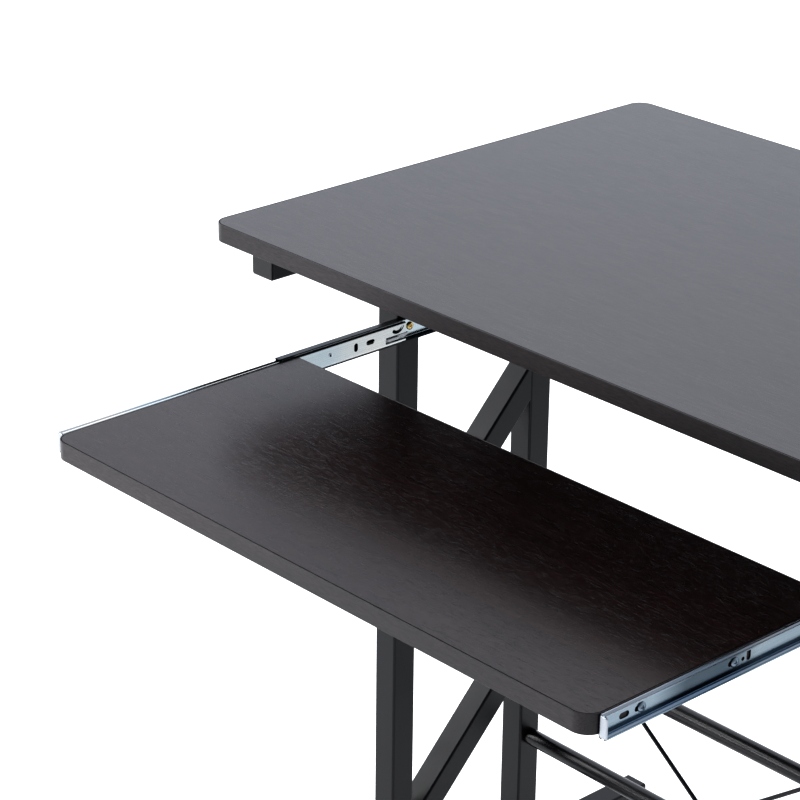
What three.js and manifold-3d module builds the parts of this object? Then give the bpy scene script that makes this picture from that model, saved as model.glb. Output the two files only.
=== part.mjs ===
// A computer desk with a keyboard tray that pulls out on two ball-bearing slides.
// Two welded square-tube side frames carry the desktop. Round stretchers and a pair of crossed
// rods join the frames. Every mesh is one separate piece of the real desk.
//
// Millimetres, +Z up, X to the user's right, +Y away from the user. Inside the desk group the
// floor is Z = 0, the middle of the desk is X = 0 and the desktop's front edge is Y = 0.
import * as THREE from 'three';
import { mergeVertices } from 'three/addons/utils/BufferGeometryUtils.js';
import Module from 'manifold-3d';

const wasm = await Module();
wasm.setup();

// ---------------------------------------------------------------- driving dimensions
const DESK_WIDTH = 690;
const DESK_DEPTH = 500;
const DESK_HEIGHT = 725;
const BOARD = 15; // thickness of the desktop and of the tray
const BOARD_ARRIS = 0.8; // small chamfer along the boards' edges
const DESK_CORNER = 14; // radius of the desktop's corners

const TUBE = 25; // side of the square frame tube
const TUBE_WALL = 1.2;
const TUBE_RADIUS = 2.2; // outer corner radius of the square tube
const FRAME_INSET = 31.5; // desktop's end to the frame's outer face
const TOP_RAIL_Y = [16, 484];
const FOOT_RAIL_Y = [6.5, 493.5];
const FOOT_RAIL_GAP = 7.5; // floor to the underside of the foot rail
const FRONT_POST_Y = 164.2; // centre of the front post
const REAR_POST_Y = 325; // centre of the rear post
const CAP_PLATE = 2.5; // visible thickness of a tube end cap
const CAP_PLUG = 12; // length of the cap's plug inside the tube

// Heights at which the zigzag braces' centre lines meet the front post and the rear post
const UPPER_BRACE = [375, 516.5];
const MIDDLE_BRACE = [375, 243.5];
const LOWER_BRACE = [103, 243.5];
const WELD_GAP = 0.3; // clearance between separately modelled tubes of one frame

const STRETCHER_RADIUS = 8;
const STRETCHER_WALL = 1.2;
const STRETCHER_PLUG = 12; // length of the threaded plug in each end
const UPPER_STRETCHER_Z = 255.6;
const LOWER_STRETCHER_Z = 152.4;

const ROD_RADIUS = 1.9; // crossed brace rods
const ROD_EYE = 7; // radius of a rod's flattened eye
const ROD_EYE_THICKNESS = 2;
const TAB_THICKNESS = 2; // welded tabs that the rods are bolted to
const TAB_REACH = 17; // how far a tab stands in from the frame
const TAB_Y = 250; // middle of the tabs
const TOP_TAB_DROP = 14; // how far the upper tabs are below their brace's centre line

const TRAY_DEPTH = 242;
const TRAY_CORNER = 14;
const TRAY_TOP = 618; // height of the tray's top face
const TRAY_SETBACK = 8.5; // closed tray's front edge behind the desktop's front edge
const PULLED_OUT = 215; // how far the modelled tray stands out of its closed place

const SLIDE_LENGTH = 350;
const SLIDE_SPACE = 8.5; // tray side to post
const SLIDE_Z = 609.5; // centre height of the slides
const SLIDE_FRONT = 18; // front end of the fixed channel
const CHANNEL_HEIGHT = 21;
const CHANNEL_FLANGE = 6.8;
const RUNNER_HEIGHT = 17.5;
const RUNNER_FLANGE_TIP = 2.6; // from the post's face
const SHEET = 1; // thickness of the slides' steel
const STOP_INSET = 0.5; // runner's edges to those of its turned-over front end
const RACE_CENTRE = 4.9; // ball track's distance from the post's face
const RACE_HALF = 1.9;
const RACE_DEPTH = 1.6;
const BALL_RADIUS = 0.85;
const BALL_HEIGHT = 8.6; // ball centres above and below the slide's centre
const CAGE_LENGTH = 130;
const CAGE_PITCH = 20; // between two balls
const CAGE_SHEET = 0.4;
const CAGE_HEIGHT = 9.13; // middle of the cage strips above and below the slide's centre

const FOOT_RADIUS = 14;
const FOOT_STEM_RADIUS = 4;
const FOOT_INSET = 32; // foot rail's end to the foot's axis
const FOOT_STEM_LENGTH = 15;

const LEVER_PIVOT = 306; // along the runner, from its front end
const LEVER_WINDOW = 327.5; // front edge of the window for the lever's pad
const LEVER_Z = -3.4; // pivot below the slide's centre

// Screws and bolts
const DESKTOP_SCREW = { headRadius: 5, headHeight: 2.4, shankRadius: 2.2, length: 36 };
const STRETCHER_BOLT = { headRadius: 5.5, headHeight: 3, shankRadius: 3, length: 36 };
const ROD_BOLT = { headRadius: 4, headHeight: 2.4, shankRadius: 2, length: 9 };
const SLIDE_SCREW = { headRadius: 3.5, headHeight: 1.9, shankRadius: 2, length: 7 };
const TRAY_SCREW = { headRadius: 3.6, headHeight: 1.7, shankRadius: 1.7, length: 15 };
const DESKTOP_SCREW_Y = [60, 440];
const TRAY_SCREW_STEP = [37.5, 125]; // along the runner, from its front end
const SCREW_CLEARANCE = 0.3; // round a shank that passes through
const THREAD_CLEARANCE = 0.1; // round a shank that is screwed in

// Facets of round shapes
const ROUND = 14;
const SMALL_ROUND = 8;
const TUBE_CORNER_STEPS = 2;
const BOARD_CORNER_STEPS = 6;

// ---------------------------------------------------------------- finishes
const FINISH = {
  board: { color: '#1c1716', roughness: 0.38, metalness: 0 },
  steel: { color: '#232325', roughness: 0.45, metalness: 0.3 },
  zinc: { color: '#c3ccd4', roughness: 0.28, metalness: 1 },
  brass: { color: '#b39a5c', roughness: 0.3, metalness: 1 },
  plastic: { color: '#191919', roughness: 0.55, metalness: 0 },
  lever: { color: '#8c8f92', roughness: 0.4, metalness: 0.8 },
  cage: { color: '#9aa0a6', roughness: 0.4, metalness: 0.8 },
};

// ---------------------------------------------------------------- derived places
const FRAME_INNER = DESK_WIDTH / 2 - FRAME_INSET - TUBE; // X of the frame's inner face
const FRAME_X = FRAME_INNER + TUBE / 2;
const TRAY_WIDTH = 2 * (FRAME_INNER - SLIDE_SPACE);
const TRAY_FRONT = TRAY_SETBACK - PULLED_OUT;
const RUNNER_FRONT = SLIDE_FRONT - PULLED_OUT;
const DESKTOP_UNDERSIDE = DESK_HEIGHT - BOARD;
const POST_TOP = DESKTOP_UNDERSIDE - TUBE;
const POST_FOOT = FOOT_RAIL_GAP + TUBE;
const FRONT_POST_BACK = FRONT_POST_Y + TUBE / 2;
const REAR_POST_FRONT = REAR_POST_Y - TUBE / 2;
const POST_SPACE = REAR_POST_FRONT - FRONT_POST_BACK;
const POST_BASE = POST_FOOT + WELD_GAP;
const TOP_RAIL_Z = DESKTOP_UNDERSIDE - TUBE / 2;
const FOOT_RAIL_Z = FOOT_RAIL_GAP + TUBE / 2;
const FOOT_Y = [FOOT_RAIL_Y[0] + FOOT_INSET, FOOT_RAIL_Y[1] - FOOT_INSET];
const TAB_BOLT_IN = TAB_REACH - ROD_EYE; // frame's inner face to the tab bolt's axis
const ROD_END_X = FRAME_INNER - TAB_BOLT_IN;
const BRACE_AT_TAB = THREE.MathUtils.lerp(...UPPER_BRACE, (TAB_Y - FRONT_POST_BACK) / POST_SPACE);
const ROD_TOP_Z = BRACE_AT_TAB - TOP_TAB_DROP;
const ROD_EYE_FACE = TAB_THICKNESS / 2 + THREAD_CLEARANCE; // eye's face, from the tab's middle
const ROD_STANDOFF = ROD_EYE_FACE + ROD_RADIUS; // rod's middle to the tab's middle
const CAGE_FRONT = SLIDE_FRONT + (SLIDE_LENGTH - PULLED_OUT - CAGE_LENGTH) / 2;


// Arc-shaped window in the drawer runner: centre, radii and the angles of its two ends
const CURVED_SLOT = { y: 340.3, z: 8.5, inner: 5.1, outer: 8.1, start: -2.2, stop: -0.5 };
// Release lever, measured along the slide from its pivot, and the thumb pad on it
const LEVER = { roundEnd: 2.3, bend: 24, hook: 42, tip: 48.6, thickness: 1.9, behindWeb: 2.2 };
const LEVER_PAD = { y: [24, 36], halfHeight: 1.3 };

// ---------------------------------------------------------------- solids and booleans
function toSolid(geometry) {
  const bare = geometry.clone();
  bare.deleteAttribute('normal');
  bare.deleteAttribute('uv');
  const merged = mergeVertices(bare, 1e-4);
  return new wasm.Manifold(new wasm.Mesh({
    numProp: 3,
    vertProperties: new Float32Array(merged.attributes.position.array),
    triVerts: new Uint32Array(merged.index.array),
  }));
}

function toGeometry(solid) {
  const mesh = solid.getMesh();
  const geometry = new THREE.BufferGeometry();
  geometry.setAttribute('position', new THREE.BufferAttribute(new Float32Array(mesh.vertProperties), 3));
  geometry.setIndex(new THREE.BufferAttribute(new Uint32Array(mesh.triVerts), 1));
  return geometry;
}

function join(...geometries) {
  return toGeometry(geometries.map(toSolid).reduce((whole, piece) => whole.add(piece)));
}

function cut(geometry, ...tools) {
  return toGeometry(tools.map(toSolid).reduce((rest, tool) => rest.subtract(tool), toSolid(geometry)));
}

function common(geometry, limit) {
  return toGeometry(toSolid(geometry).intersect(toSolid(limit)));
}

// The same piece for the other side of the desk, with its faces still turned outwards
function mirrored(geometry) {
  const copy = geometry.index ? geometry.clone() : mergeVertices(geometry.clone());
  const position = copy.attributes.position;
  for (let i = 0; i < position.count; i++) position.setX(i, -position.getX(i));
  const index = copy.index;
  for (let i = 0; i < index.count; i += 3) {
    const first = index.getX(i);
    index.setX(i, index.getX(i + 1));
    index.setX(i + 1, first);
  }
  copy.computeVertexNormals();
  return copy;
}

// ---------------------------------------------------------------- outlines
function roundedRectangle(width, height, radius) {
  const shape = new THREE.Shape();
  const x = width / 2 - radius;
  const y = height / 2 - radius;
  shape.absarc(x, y, radius, 0, Math.PI / 2);
  shape.absarc(-x, y, radius, Math.PI / 2, Math.PI);
  shape.absarc(-x, -y, radius, Math.PI, 1.5 * Math.PI);
  shape.absarc(x, -y, radius, 1.5 * Math.PI, 2 * Math.PI);
  return shape;
}

// A board whose front corners are rounded and whose back corners are only eased
function boardOutline(width, depth, frontRadius, backRadius) {
  const shape = new THREE.Shape();
  const half = width / 2;
  shape.absarc(half - backRadius, depth - backRadius, backRadius, 0, Math.PI / 2);
  shape.absarc(backRadius - half, depth - backRadius, backRadius, Math.PI / 2, Math.PI);
  shape.absarc(frontRadius - half, frontRadius, frontRadius, Math.PI, 1.5 * Math.PI);
  shape.absarc(half - frontRadius, frontRadius, frontRadius, 1.5 * Math.PI, 2 * Math.PI);
  return shape;
}

function slotOutline(length, height) {
  return roundedRectangle(length, height, Math.min(length, height) / 2 - 0.01);
}

function tubeSection() {
  const shape = roundedRectangle(TUBE, TUBE, TUBE_RADIUS);
  const inside = TUBE - 2 * TUBE_WALL;
  shape.holes.push(roundedRectangle(inside, inside, TUBE_RADIUS - TUBE_WALL));
  return shape;
}

// Closed outline of bent sheet metal whose middle line runs through the given points
function sheetOutline(points, thickness) {
  const sides = [[], []];
  points.forEach((point, i) => {
    const before = points[Math.max(i - 1, 0)];
    const after = points[Math.min(i + 1, points.length - 1)];
    const incoming = point.clone().sub(before).normalize();
    const outgoing = after.clone().sub(point).normalize();
    const along = incoming.add(outgoing).normalize();
    const turn = i === 0 || i === points.length - 1 ? 1 : along.dot(after.clone().sub(point).normalize());
    const offset = thickness / 2 / turn;
    sides[0].push(new THREE.Vector2(point.x - along.y * offset, point.y + along.x * offset));
    sides[1].push(new THREE.Vector2(point.x + along.y * offset, point.y - along.x * offset));
  });
  return new THREE.Shape([...sides[0], ...sides[1].reverse()]);
}

// Middle line of a C-section: out along the lower flange, up the web, back along the upper flange.
// Each flange may dip towards the middle to make a ball track.
function channelLine({ webX, tipX, flangeZ, bend, dip }) {
  const direction = Math.sign(tipX - webX);
  const upper = [];
  const flangeSteps = dip > 0 ? 6 : 1;
  for (let i = 0; i <= flangeSteps; i++) {
    const x = THREE.MathUtils.lerp(tipX, webX + direction * bend, i / flangeSteps);
    const reach = Math.min(Math.abs(x - RACE_CENTRE) / RACE_HALF, 1);
    upper.push(new THREE.Vector2(x, flangeZ - (dip * (1 + Math.cos(Math.PI * reach))) / 2));
  }
  for (let i = 1; i <= 2; i++) {
    const angle = (i / 2) * (Math.PI / 2);
    const x = webX + direction * bend * (1 - Math.sin(angle));
    upper.push(new THREE.Vector2(x, flangeZ - bend * (1 - Math.cos(angle))));
  }
  const lower = upper.map((point) => new THREE.Vector2(point.x, -point.y)).reverse();
  return [...upper, ...lower];
}

// ---------------------------------------------------------------- basic bodies
function extrudeZ(shape, height, curveSegments = TUBE_CORNER_STEPS) {
  return new THREE.ExtrudeGeometry(shape, { depth: height, bevelEnabled: false, curveSegments });
}

// Outline given in X and Z, from Y = 0 to the length
function extrudeY(shape, length, curveSegments = TUBE_CORNER_STEPS) {
  return extrudeZ(shape, length, curveSegments).rotateX(Math.PI / 2).translate(0, length, 0);
}

// Outline given in Y and Z, from X = 0 to the width
function extrudeX(shape, width, curveSegments = TUBE_CORNER_STEPS) {
  return extrudeZ(shape, width, curveSegments).rotateX(Math.PI / 2).rotateZ(Math.PI / 2);
}

function box(x0, x1, y0, y1, z0, z1) {
  return new THREE.BoxGeometry(x1 - x0, y1 - y0, z1 - z0)
    .translate((x0 + x1) / 2, (y0 + y1) / 2, (z0 + z1) / 2);
}

// A cylinder along one axis, starting at a point
function cylinder(axis, radius, length, x, y, z, facets = SMALL_ROUND) {
  const body = new THREE.CylinderGeometry(radius, radius, length, facets).translate(0, length / 2, 0);
  if (axis === 'x') body.rotateZ(-Math.PI / 2);
  if (axis === 'z') body.rotateX(Math.PI / 2);
  return body.translate(x, y, z);
}

// Turned profile about Z, given as radius and height pairs
function turned(profile, facets = SMALL_ROUND) {
  return new THREE.LatheGeometry(profile.map(([radius, height]) => new THREE.Vector2(radius, height)), facets)
    .rotateX(Math.PI / 2);
}

// A pan-head screw whose head's underside is at the origin and whose shank runs along +X
function panScrew({ headRadius, headHeight, shankRadius, length }) {
  return turned([
    [0, -length],
    [shankRadius, -length + shankRadius],
    [shankRadius, 0],
    [headRadius, 0],
    [headRadius * 0.9, headHeight * 0.6],
    [headRadius * 0.55, headHeight],
    [0, headHeight],
  ]).rotateY(-Math.PI / 2);
}

// ---------------------------------------------------------------- boards
function bevelledBoard(outline, thickness) {
  const depth = thickness - 2 * BOARD_ARRIS;
  return new THREE.ExtrudeGeometry(outline, {
    depth,
    bevelEnabled: true,
    bevelThickness: BOARD_ARRIS,
    bevelSize: BOARD_ARRIS,
    bevelOffset: -BOARD_ARRIS,
    bevelSegments: 1,
    curveSegments: BOARD_CORNER_STEPS,
  }).translate(0, 0, BOARD_ARRIS);
}

function desktopBoard() {
  const board = bevelledBoard(boardOutline(DESK_WIDTH, DESK_DEPTH, DESK_CORNER, DESK_CORNER), BOARD);
  const radius = DESKTOP_SCREW.shankRadius + THREAD_CLEARANCE;
  const holes = [-FRAME_X, FRAME_X].flatMap((x) => (
    DESKTOP_SCREW_Y.map((y) => cylinder('z', radius, 13, x, y, -1))));
  return cut(board, ...holes);
}

function trayBoard() {
  const board = bevelledBoard(boardOutline(TRAY_WIDTH, TRAY_DEPTH, TRAY_CORNER, 2), BOARD);
  const radius = TRAY_SCREW.shankRadius + THREAD_CLEARANCE;
  const z = SLIDE_Z - (TRAY_TOP - BOARD);
  const holes = TRAY_SCREW_STEP.flatMap((step) => {
    const y = RUNNER_FRONT + step - TRAY_FRONT;
    const reach = TRAY_SCREW.length + 1;
    return [
      cylinder('x', radius, reach, -TRAY_WIDTH / 2 - 1, y, z),
      cylinder('x', radius, reach, TRAY_WIDTH / 2 + 1 - reach, y, z),
    ];
  });
  return cut(board, ...holes);
}

// ---------------------------------------------------------------- side frame, left side
// Inside the frame functions X = 0 is the middle of the frame and +X points to the desk's middle.

function drillAcross(geometry, radius, y, z) {
  return cut(geometry, cylinder('x', radius, TUBE + 4, -TUBE / 2 - 2, y, z));
}

function topRail() {
  const length = TOP_RAIL_Y[1] - TOP_RAIL_Y[0] - 2 * CAP_PLATE;
  const start = TOP_RAIL_Y[0] + CAP_PLATE;
  const radius = DESKTOP_SCREW.shankRadius + SCREW_CLEARANCE;
  const holes = DESKTOP_SCREW_Y.map((y) => cylinder('z', radius, TUBE + 4, 0, y - start, -TUBE / 2 - 2));
  return cut(extrudeY(tubeSection(), length), ...holes);
}

// A tab welded to a tube's inner face, standing in towards the middle of the desk
function rodTab(y, z) {
  const tab = extrudeY(slotOutline(2 * TAB_REACH, 2 * ROD_EYE), TAB_THICKNESS);
  tab.translate(TUBE / 2, y - TAB_THICKNESS / 2, z);
  const inside = box(TUBE / 2 - 0.6, TUBE / 2 + TAB_REACH, y - 5, y + 5, z - 20, z + 20);
  const bolt = cylinder('x', ROD_BOLT.shankRadius + SCREW_CLEARANCE, 12, 0, 0, 0).rotateZ(Math.PI / 2);
  return cut(common(tab, inside), bolt.translate(TUBE / 2 + TAB_BOLT_IN, y - 6, z));
}

function footRail() {
  const start = FOOT_RAIL_Y[0] + CAP_PLATE;
  const length = FOOT_RAIL_Y[1] - FOOT_RAIL_Y[0] - 2 * CAP_PLATE;
  const threads = FOOT_Y.map((y) => (
    cylinder('z', FOOT_STEM_RADIUS + SCREW_CLEARANCE, 6, 0, y - start, -TUBE / 2 - 3)));
  const rail = cut(extrudeY(tubeSection(), length), ...threads);
  return join(rail, rodTab(TAB_Y - start, 0));
}

function post(y) {
  const blank = extrudeZ(tubeSection(), POST_TOP - WELD_GAP - POST_BASE);
  const slideHoleRadius = SLIDE_SCREW.shankRadius + THREAD_CLEARANCE;
  const slideHole = cylinder('x', slideHoleRadius, 8, TUBE / 2 - 4, 0, SLIDE_Z - POST_BASE);
  const drilled = cut(blank, slideHole);
  if (y !== REAR_POST_Y) return drilled;
  const boltRadius = STRETCHER_BOLT.shankRadius + SCREW_CLEARANCE;
  const upper = drillAcross(drilled, boltRadius, 0, UPPER_STRETCHER_Z - POST_BASE);
  return drillAcross(upper, boltRadius, 0, LOWER_STRETCHER_Z - POST_BASE);
}

// A bar of the given section along a brace's centre line, longer than the space between the posts
function braceBar([frontZ, rearZ], section) {
  const angle = Math.atan2(rearZ - frontZ, POST_SPACE);
  const length = POST_SPACE / Math.cos(angle) + 4 * TUBE;
  return extrudeY(section, length)
    .translate(0, -length / 2, 0)
    .rotateX(angle)
    .translate(0, (FRONT_POST_BACK + REAR_POST_FRONT) / 2, (frontZ + rearZ) / 2);
}

// A brace cut off flush with the posts' facing sides
function brace(line) {
  const front = FRONT_POST_BACK + WELD_GAP;
  const rear = REAR_POST_FRONT - WELD_GAP;
  return common(braceBar(line, tubeSection()), box(-TUBE, TUBE, front, rear, 0, DESK_HEIGHT));
}

// The middle brace, whose ends are coped to the braces above and below it
function copedBrace(line, ...neighbours) {
  const envelope = TUBE + 2 * WELD_GAP;
  const section = roundedRectangle(envelope, envelope, 1);
  const copes = neighbours.map((neighbour) => braceBar(neighbour, section));
  return cut(brace(line), ...copes);
}

// A plastic cap that closes a tube's end: the plate is outside, the plug inside, pointing to +Y
function endCap() {
  const plugWidth = TUBE - 2 * TUBE_WALL - 2 * SCREW_CLEARANCE;
  const plate = extrudeY(roundedRectangle(TUBE, TUBE, TUBE_RADIUS), CAP_PLATE);
  const plug = extrudeY(roundedRectangle(plugWidth, plugWidth, 1), CAP_PLUG + 0.5);
  const hollow = box(-plugWidth / 2 + 2, plugWidth / 2 - 2, CAP_PLATE + 1, CAP_PLATE + CAP_PLUG + 2,
    -plugWidth / 2 + 2, plugWidth / 2 - 2);
  return cut(join(plate, plug.translate(0, CAP_PLATE - 0.5, 0)), hollow);
}

// A screw-in levelling foot, standing on Z = 0
function levellingFoot() {
  return turned([
    [0, 0],
    [FOOT_RADIUS - 1.5, 0],
    [FOOT_RADIUS, 1.5],
    [FOOT_RADIUS, FOOT_RAIL_GAP - 2],
    [FOOT_RADIUS - 2.5, FOOT_RAIL_GAP],
    [FOOT_STEM_RADIUS, FOOT_RAIL_GAP],
    [FOOT_STEM_RADIUS, FOOT_RAIL_GAP + FOOT_STEM_LENGTH - 1],
    [FOOT_STEM_RADIUS - 1, FOOT_RAIL_GAP + FOOT_STEM_LENGTH],
    [0, FOOT_RAIL_GAP + FOOT_STEM_LENGTH],
  ], ROUND);
}

// ---------------------------------------------------------------- parts between the frames
// A round tube with a bored plug in each end, lying along X
function stretcher() {
  const half = FRAME_INNER - WELD_GAP;
  const bore = STRETCHER_BOLT.shankRadius + THREAD_CLEARANCE;
  const inside = STRETCHER_RADIUS - STRETCHER_WALL;
  return turned([
    [bore, -half],
    [STRETCHER_RADIUS - 0.5, -half],
    [STRETCHER_RADIUS, 0.5 - half],
    [STRETCHER_RADIUS, half - 0.5],
    [STRETCHER_RADIUS - 0.5, half],
    [bore, half],
    [bore, half - STRETCHER_PLUG],
    [inside, half - STRETCHER_PLUG],
    [inside, STRETCHER_PLUG - half],
    [bore, STRETCHER_PLUG - half],
    [bore, -half],
  ], ROUND).rotateY(Math.PI / 2);
}

// One brace rod from high on the left frame to low on the right one, in the plane Y = 0.
// Its flattened eyes are on its +Y side.
function braceRod() {
  const from = new THREE.Vector3(-ROD_END_X, 0, ROD_TOP_Z);
  const to = new THREE.Vector3(ROD_END_X, 0, FOOT_RAIL_Z);
  const span = to.clone().sub(from);
  const middle = from.clone().add(to).multiplyScalar(0.5);
  const angle = Math.atan2(span.z, span.x);
  const shaft = new THREE.CylinderGeometry(ROD_RADIUS, ROD_RADIUS, span.length() - 2 * ROD_EYE + 2, 10)
    .rotateZ(-Math.PI / 2)
    .rotateY(-angle)
    .translate(middle.x, 0, middle.z);
  const eyes = [from, to].map((at) => {
    const eye = cylinder('y', ROD_EYE, ROD_EYE_THICKNESS, at.x, ROD_RADIUS - ROD_EYE_THICKNESS, at.z, ROUND);
    const hole = cylinder('y', ROD_BOLT.shankRadius + SCREW_CLEARANCE, 6, at.x, -3, at.z);
    return cut(eye, hole);
  });
  return join(shaft, ...eyes);
}

// ---------------------------------------------------------------- slide, left side
// Inside the slide functions X = 0 is the post's face, +X points to the tray, Z = 0 is the slide's
// centre and Y = 0 is the front end of the part.

function holeThroughWeb(y, z, radius) {
  return cylinder('x', radius, SLIDE_SPACE + 4, -2, y, z);
}

function slotThroughWeb(y, z, length, height) {
  return extrudeX(slotOutline(length, height), SLIDE_SPACE + 4).translate(-2, y, z);
}

function fixedChannel() {
  const line = channelLine({
    webX: SHEET / 2,
    tipX: CHANNEL_FLANGE,
    flangeZ: (CHANNEL_HEIGHT - SHEET) / 2,
    bend: 1.2,
    dip: 0,
  });
  const screwHoles = [FRONT_POST_Y, REAR_POST_Y].map((y) => (
    holeThroughWeb(y - SLIDE_FRONT, 0, SLIDE_SCREW.shankRadius + SCREW_CLEARANCE)));
  const spareHoles = [
    slotThroughWeb(26, 0, 9, 4.6),
    holeThroughWeb(48, 0, 2.3),
    slotThroughWeb(92, 0, 4.6, 8),
    slotThroughWeb(224, 0, 9, 4.6),
    holeThroughWeb(250, 0, 2.3),
    slotThroughWeb(334, 0, 9, 4.6),
  ];
  return cut(extrudeY(sheetOutline(line, SHEET), SLIDE_LENGTH), ...screwHoles, ...spareHoles);
}

// Drawer runner: a C-section that opens towards the post, with a turned-over front end
function drawerRunner() {
  const line = channelLine({
    webX: SLIDE_SPACE - SHEET / 2,
    tipX: RUNNER_FLANGE_TIP,
    flangeZ: (RUNNER_HEIGHT - SHEET) / 2,
    bend: 1,
    dip: RACE_DEPTH,
  });
  const section = extrudeY(sheetOutline(line, SHEET), SLIDE_LENGTH);
  const stopHalf = RUNNER_HEIGHT / 2 - STOP_INSET;
  const stopEdge = SLIDE_SPACE - STOP_INSET;
  const frontStop = box(RUNNER_FLANGE_TIP, stopEdge, 0, SHEET, -stopHalf, stopHalf);
  const screwRadius = TRAY_SCREW.shankRadius + SCREW_CLEARANCE;
  const openings = [
    slotThroughWeb(22, 0, 9, 4.4),
    slotThroughWeb(TRAY_SCREW_STEP[0] - 1.5, 0, 9, 2 * screwRadius),
    slotThroughWeb(TRAY_SCREW_STEP[1] - 1.5, 0, 9, 2 * screwRadius),
    holeThroughWeb(133.5, -0.6, 1.5),
    slotThroughWeb(139, 0.6, 4, 8),
    holeThroughWeb(267, 0.6, 1.6),
    slotThroughWeb(294.7, 0, 4, 7.4),
    slotThroughWeb(310.6, 0.6, 9, 4.2),
    holeThroughWeb(LEVER_PIVOT, LEVER_Z, 1.2),
    curvedSlot(),
    box(SLIDE_SPACE - 2 * SHEET, SLIDE_SPACE + 1, LEVER_WINDOW, SLIDE_LENGTH + 1, -6.4, -0.6),
  ];
  return cut(join(section, frontStop), ...openings);
}

// A slot along an arc above the lever, with round ends
function curvedSlot() {
  const middle = new THREE.Vector2(CURVED_SLOT.y, CURVED_SLOT.z);
  const { inner, outer, start, stop } = CURVED_SLOT;
  const endRadius = (outer - inner) / 2;
  const shape = new THREE.Shape();
  const endAt = (angle) => middle.clone().add(
    new THREE.Vector2(Math.cos(angle), Math.sin(angle)).multiplyScalar(inner + endRadius));
  shape.absarc(middle.x, middle.y, outer, start, stop, false);
  shape.absarc(endAt(stop).x, endAt(stop).y, endRadius, stop, stop + Math.PI, false);
  shape.absarc(middle.x, middle.y, inner, stop, start, true);
  shape.absarc(endAt(start).x, endAt(start).y, endRadius, start + Math.PI, start + 2 * Math.PI, false);
  return extrudeX(shape, 3, 4).translate(SLIDE_SPACE - 2 * SHEET, 0, 0);
}

// Release lever: a flat arm behind the runner's web, with a thumb pad in the web's window and a
// hooked end that stands out behind the runner
function releaseLever() {
  const { roundEnd, bend, hook, tip, thickness, behindWeb } = LEVER;
  const arm = new THREE.Shape();
  arm.absarc(0, 0, roundEnd, Math.PI / 2, 1.5 * Math.PI);
  arm.lineTo(bend, -1.8);
  arm.lineTo(hook, -roundEnd);
  arm.lineTo(tip, 0.3);
  arm.lineTo(tip - 0.6, 1.6);
  arm.lineTo(bend, 1.4);
  const armBack = SLIDE_SPACE - SHEET - behindWeb;
  const pivot = cylinder('x', 1, SLIDE_SPACE - armBack - 0.1, armBack + 0.1, 0, 0);
  const padBack = armBack + thickness - 0.8;
  const pad = box(padBack, SLIDE_SPACE + 0.3, ...LEVER_PAD.y, -LEVER_PAD.halfHeight, LEVER_PAD.halfHeight);
  return join(extrudeX(arm, thickness).translate(armBack, 0, 0), pivot, pad);
}

// Ball cage: two strips with balls, joined at the front by a bridge along the fixed channel
function ballCage() {
  const cageWeb = SHEET + 0.75; // clear of the fixed channel's bends
  const strips = [-1, 1].map((side) => box(cageWeb, CHANNEL_FLANGE - 0.2, 0, CAGE_LENGTH,
    side * CAGE_HEIGHT - CAGE_SHEET / 2, side * CAGE_HEIGHT + CAGE_SHEET / 2));
  const bridge = box(cageWeb, cageWeb + CAGE_SHEET, 0, 10, -CAGE_HEIGHT, CAGE_HEIGHT);
  const balls = [];
  const count = Math.floor((CAGE_LENGTH - CAGE_PITCH / 2) / CAGE_PITCH) + 1;
  for (const side of [-1, 1]) {
    for (let i = 0; i < count; i++) {
      const y = (CAGE_LENGTH - (count - 1) * CAGE_PITCH) / 2 + i * CAGE_PITCH;
      const ball = new THREE.SphereGeometry(BALL_RADIUS, 6, 4);
      balls.push(ball.translate(RACE_CENTRE, y, side * BALL_HEIGHT));
    }
  }
  return join(...strips, bridge, ...balls);
}

// ---------------------------------------------------------------- assembly
const desk = new THREE.Group();

function add(name, geometry, finish, x = 0, y = 0, z = 0) {
  const mesh = new THREE.Mesh(geometry, new THREE.MeshStandardMaterial(FINISH[finish]));
  mesh.name = name;
  mesh.position.set(x, y, z);
  desk.add(mesh);
  return mesh;
}

// Adds a left piece, and its mirror image on the right
function addPair(name, geometry, finish, x, y, z) {
  add(`left_${name}`, geometry, finish, -x, y, z);
  add(`right_${name}`, mirrored(geometry), finish, x, y, z);
}

// Bolts and screws point along X or Z; this one is turned so that its shank runs along +Z or +-Y
function screwAlong(axis, screw) {
  const geometry = panScrew(screw);
  if (axis === 'z') return geometry.rotateY(-Math.PI / 2);
  if (axis === 'y') return geometry.rotateZ(Math.PI / 2);
  if (axis === '-y') return geometry.rotateZ(-Math.PI / 2);
  if (axis === '-x') return geometry.rotateZ(Math.PI);
  return geometry;
}

add('desktop', desktopBoard(), 'board', 0, 0, DESKTOP_UNDERSIDE);
add('keyboard_tray', trayBoard(), 'board', 0, TRAY_FRONT, TRAY_TOP - BOARD);

// Side frames
addPair('top_rail', topRail(), 'steel', FRAME_X, TOP_RAIL_Y[0] + CAP_PLATE, TOP_RAIL_Z);
addPair('foot_rail', footRail(), 'steel', FRAME_X, FOOT_RAIL_Y[0] + CAP_PLATE, FOOT_RAIL_Z);
addPair('front_post', post(FRONT_POST_Y), 'steel', FRAME_X, FRONT_POST_Y, POST_BASE);
addPair('rear_post', post(REAR_POST_Y), 'steel', FRAME_X, REAR_POST_Y, POST_BASE);
addPair('upper_brace', join(brace(UPPER_BRACE), rodTab(TAB_Y, ROD_TOP_Z)), 'steel', FRAME_X, 0, 0);
addPair('middle_brace', copedBrace(MIDDLE_BRACE, UPPER_BRACE, LOWER_BRACE), 'steel', FRAME_X, 0, 0);
addPair('lower_brace', brace(LOWER_BRACE), 'steel', FRAME_X, 0, 0);
const rails = [['top_rail', TOP_RAIL_Y, TOP_RAIL_Z], ['foot_rail', FOOT_RAIL_Y, FOOT_RAIL_Z]];
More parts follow.
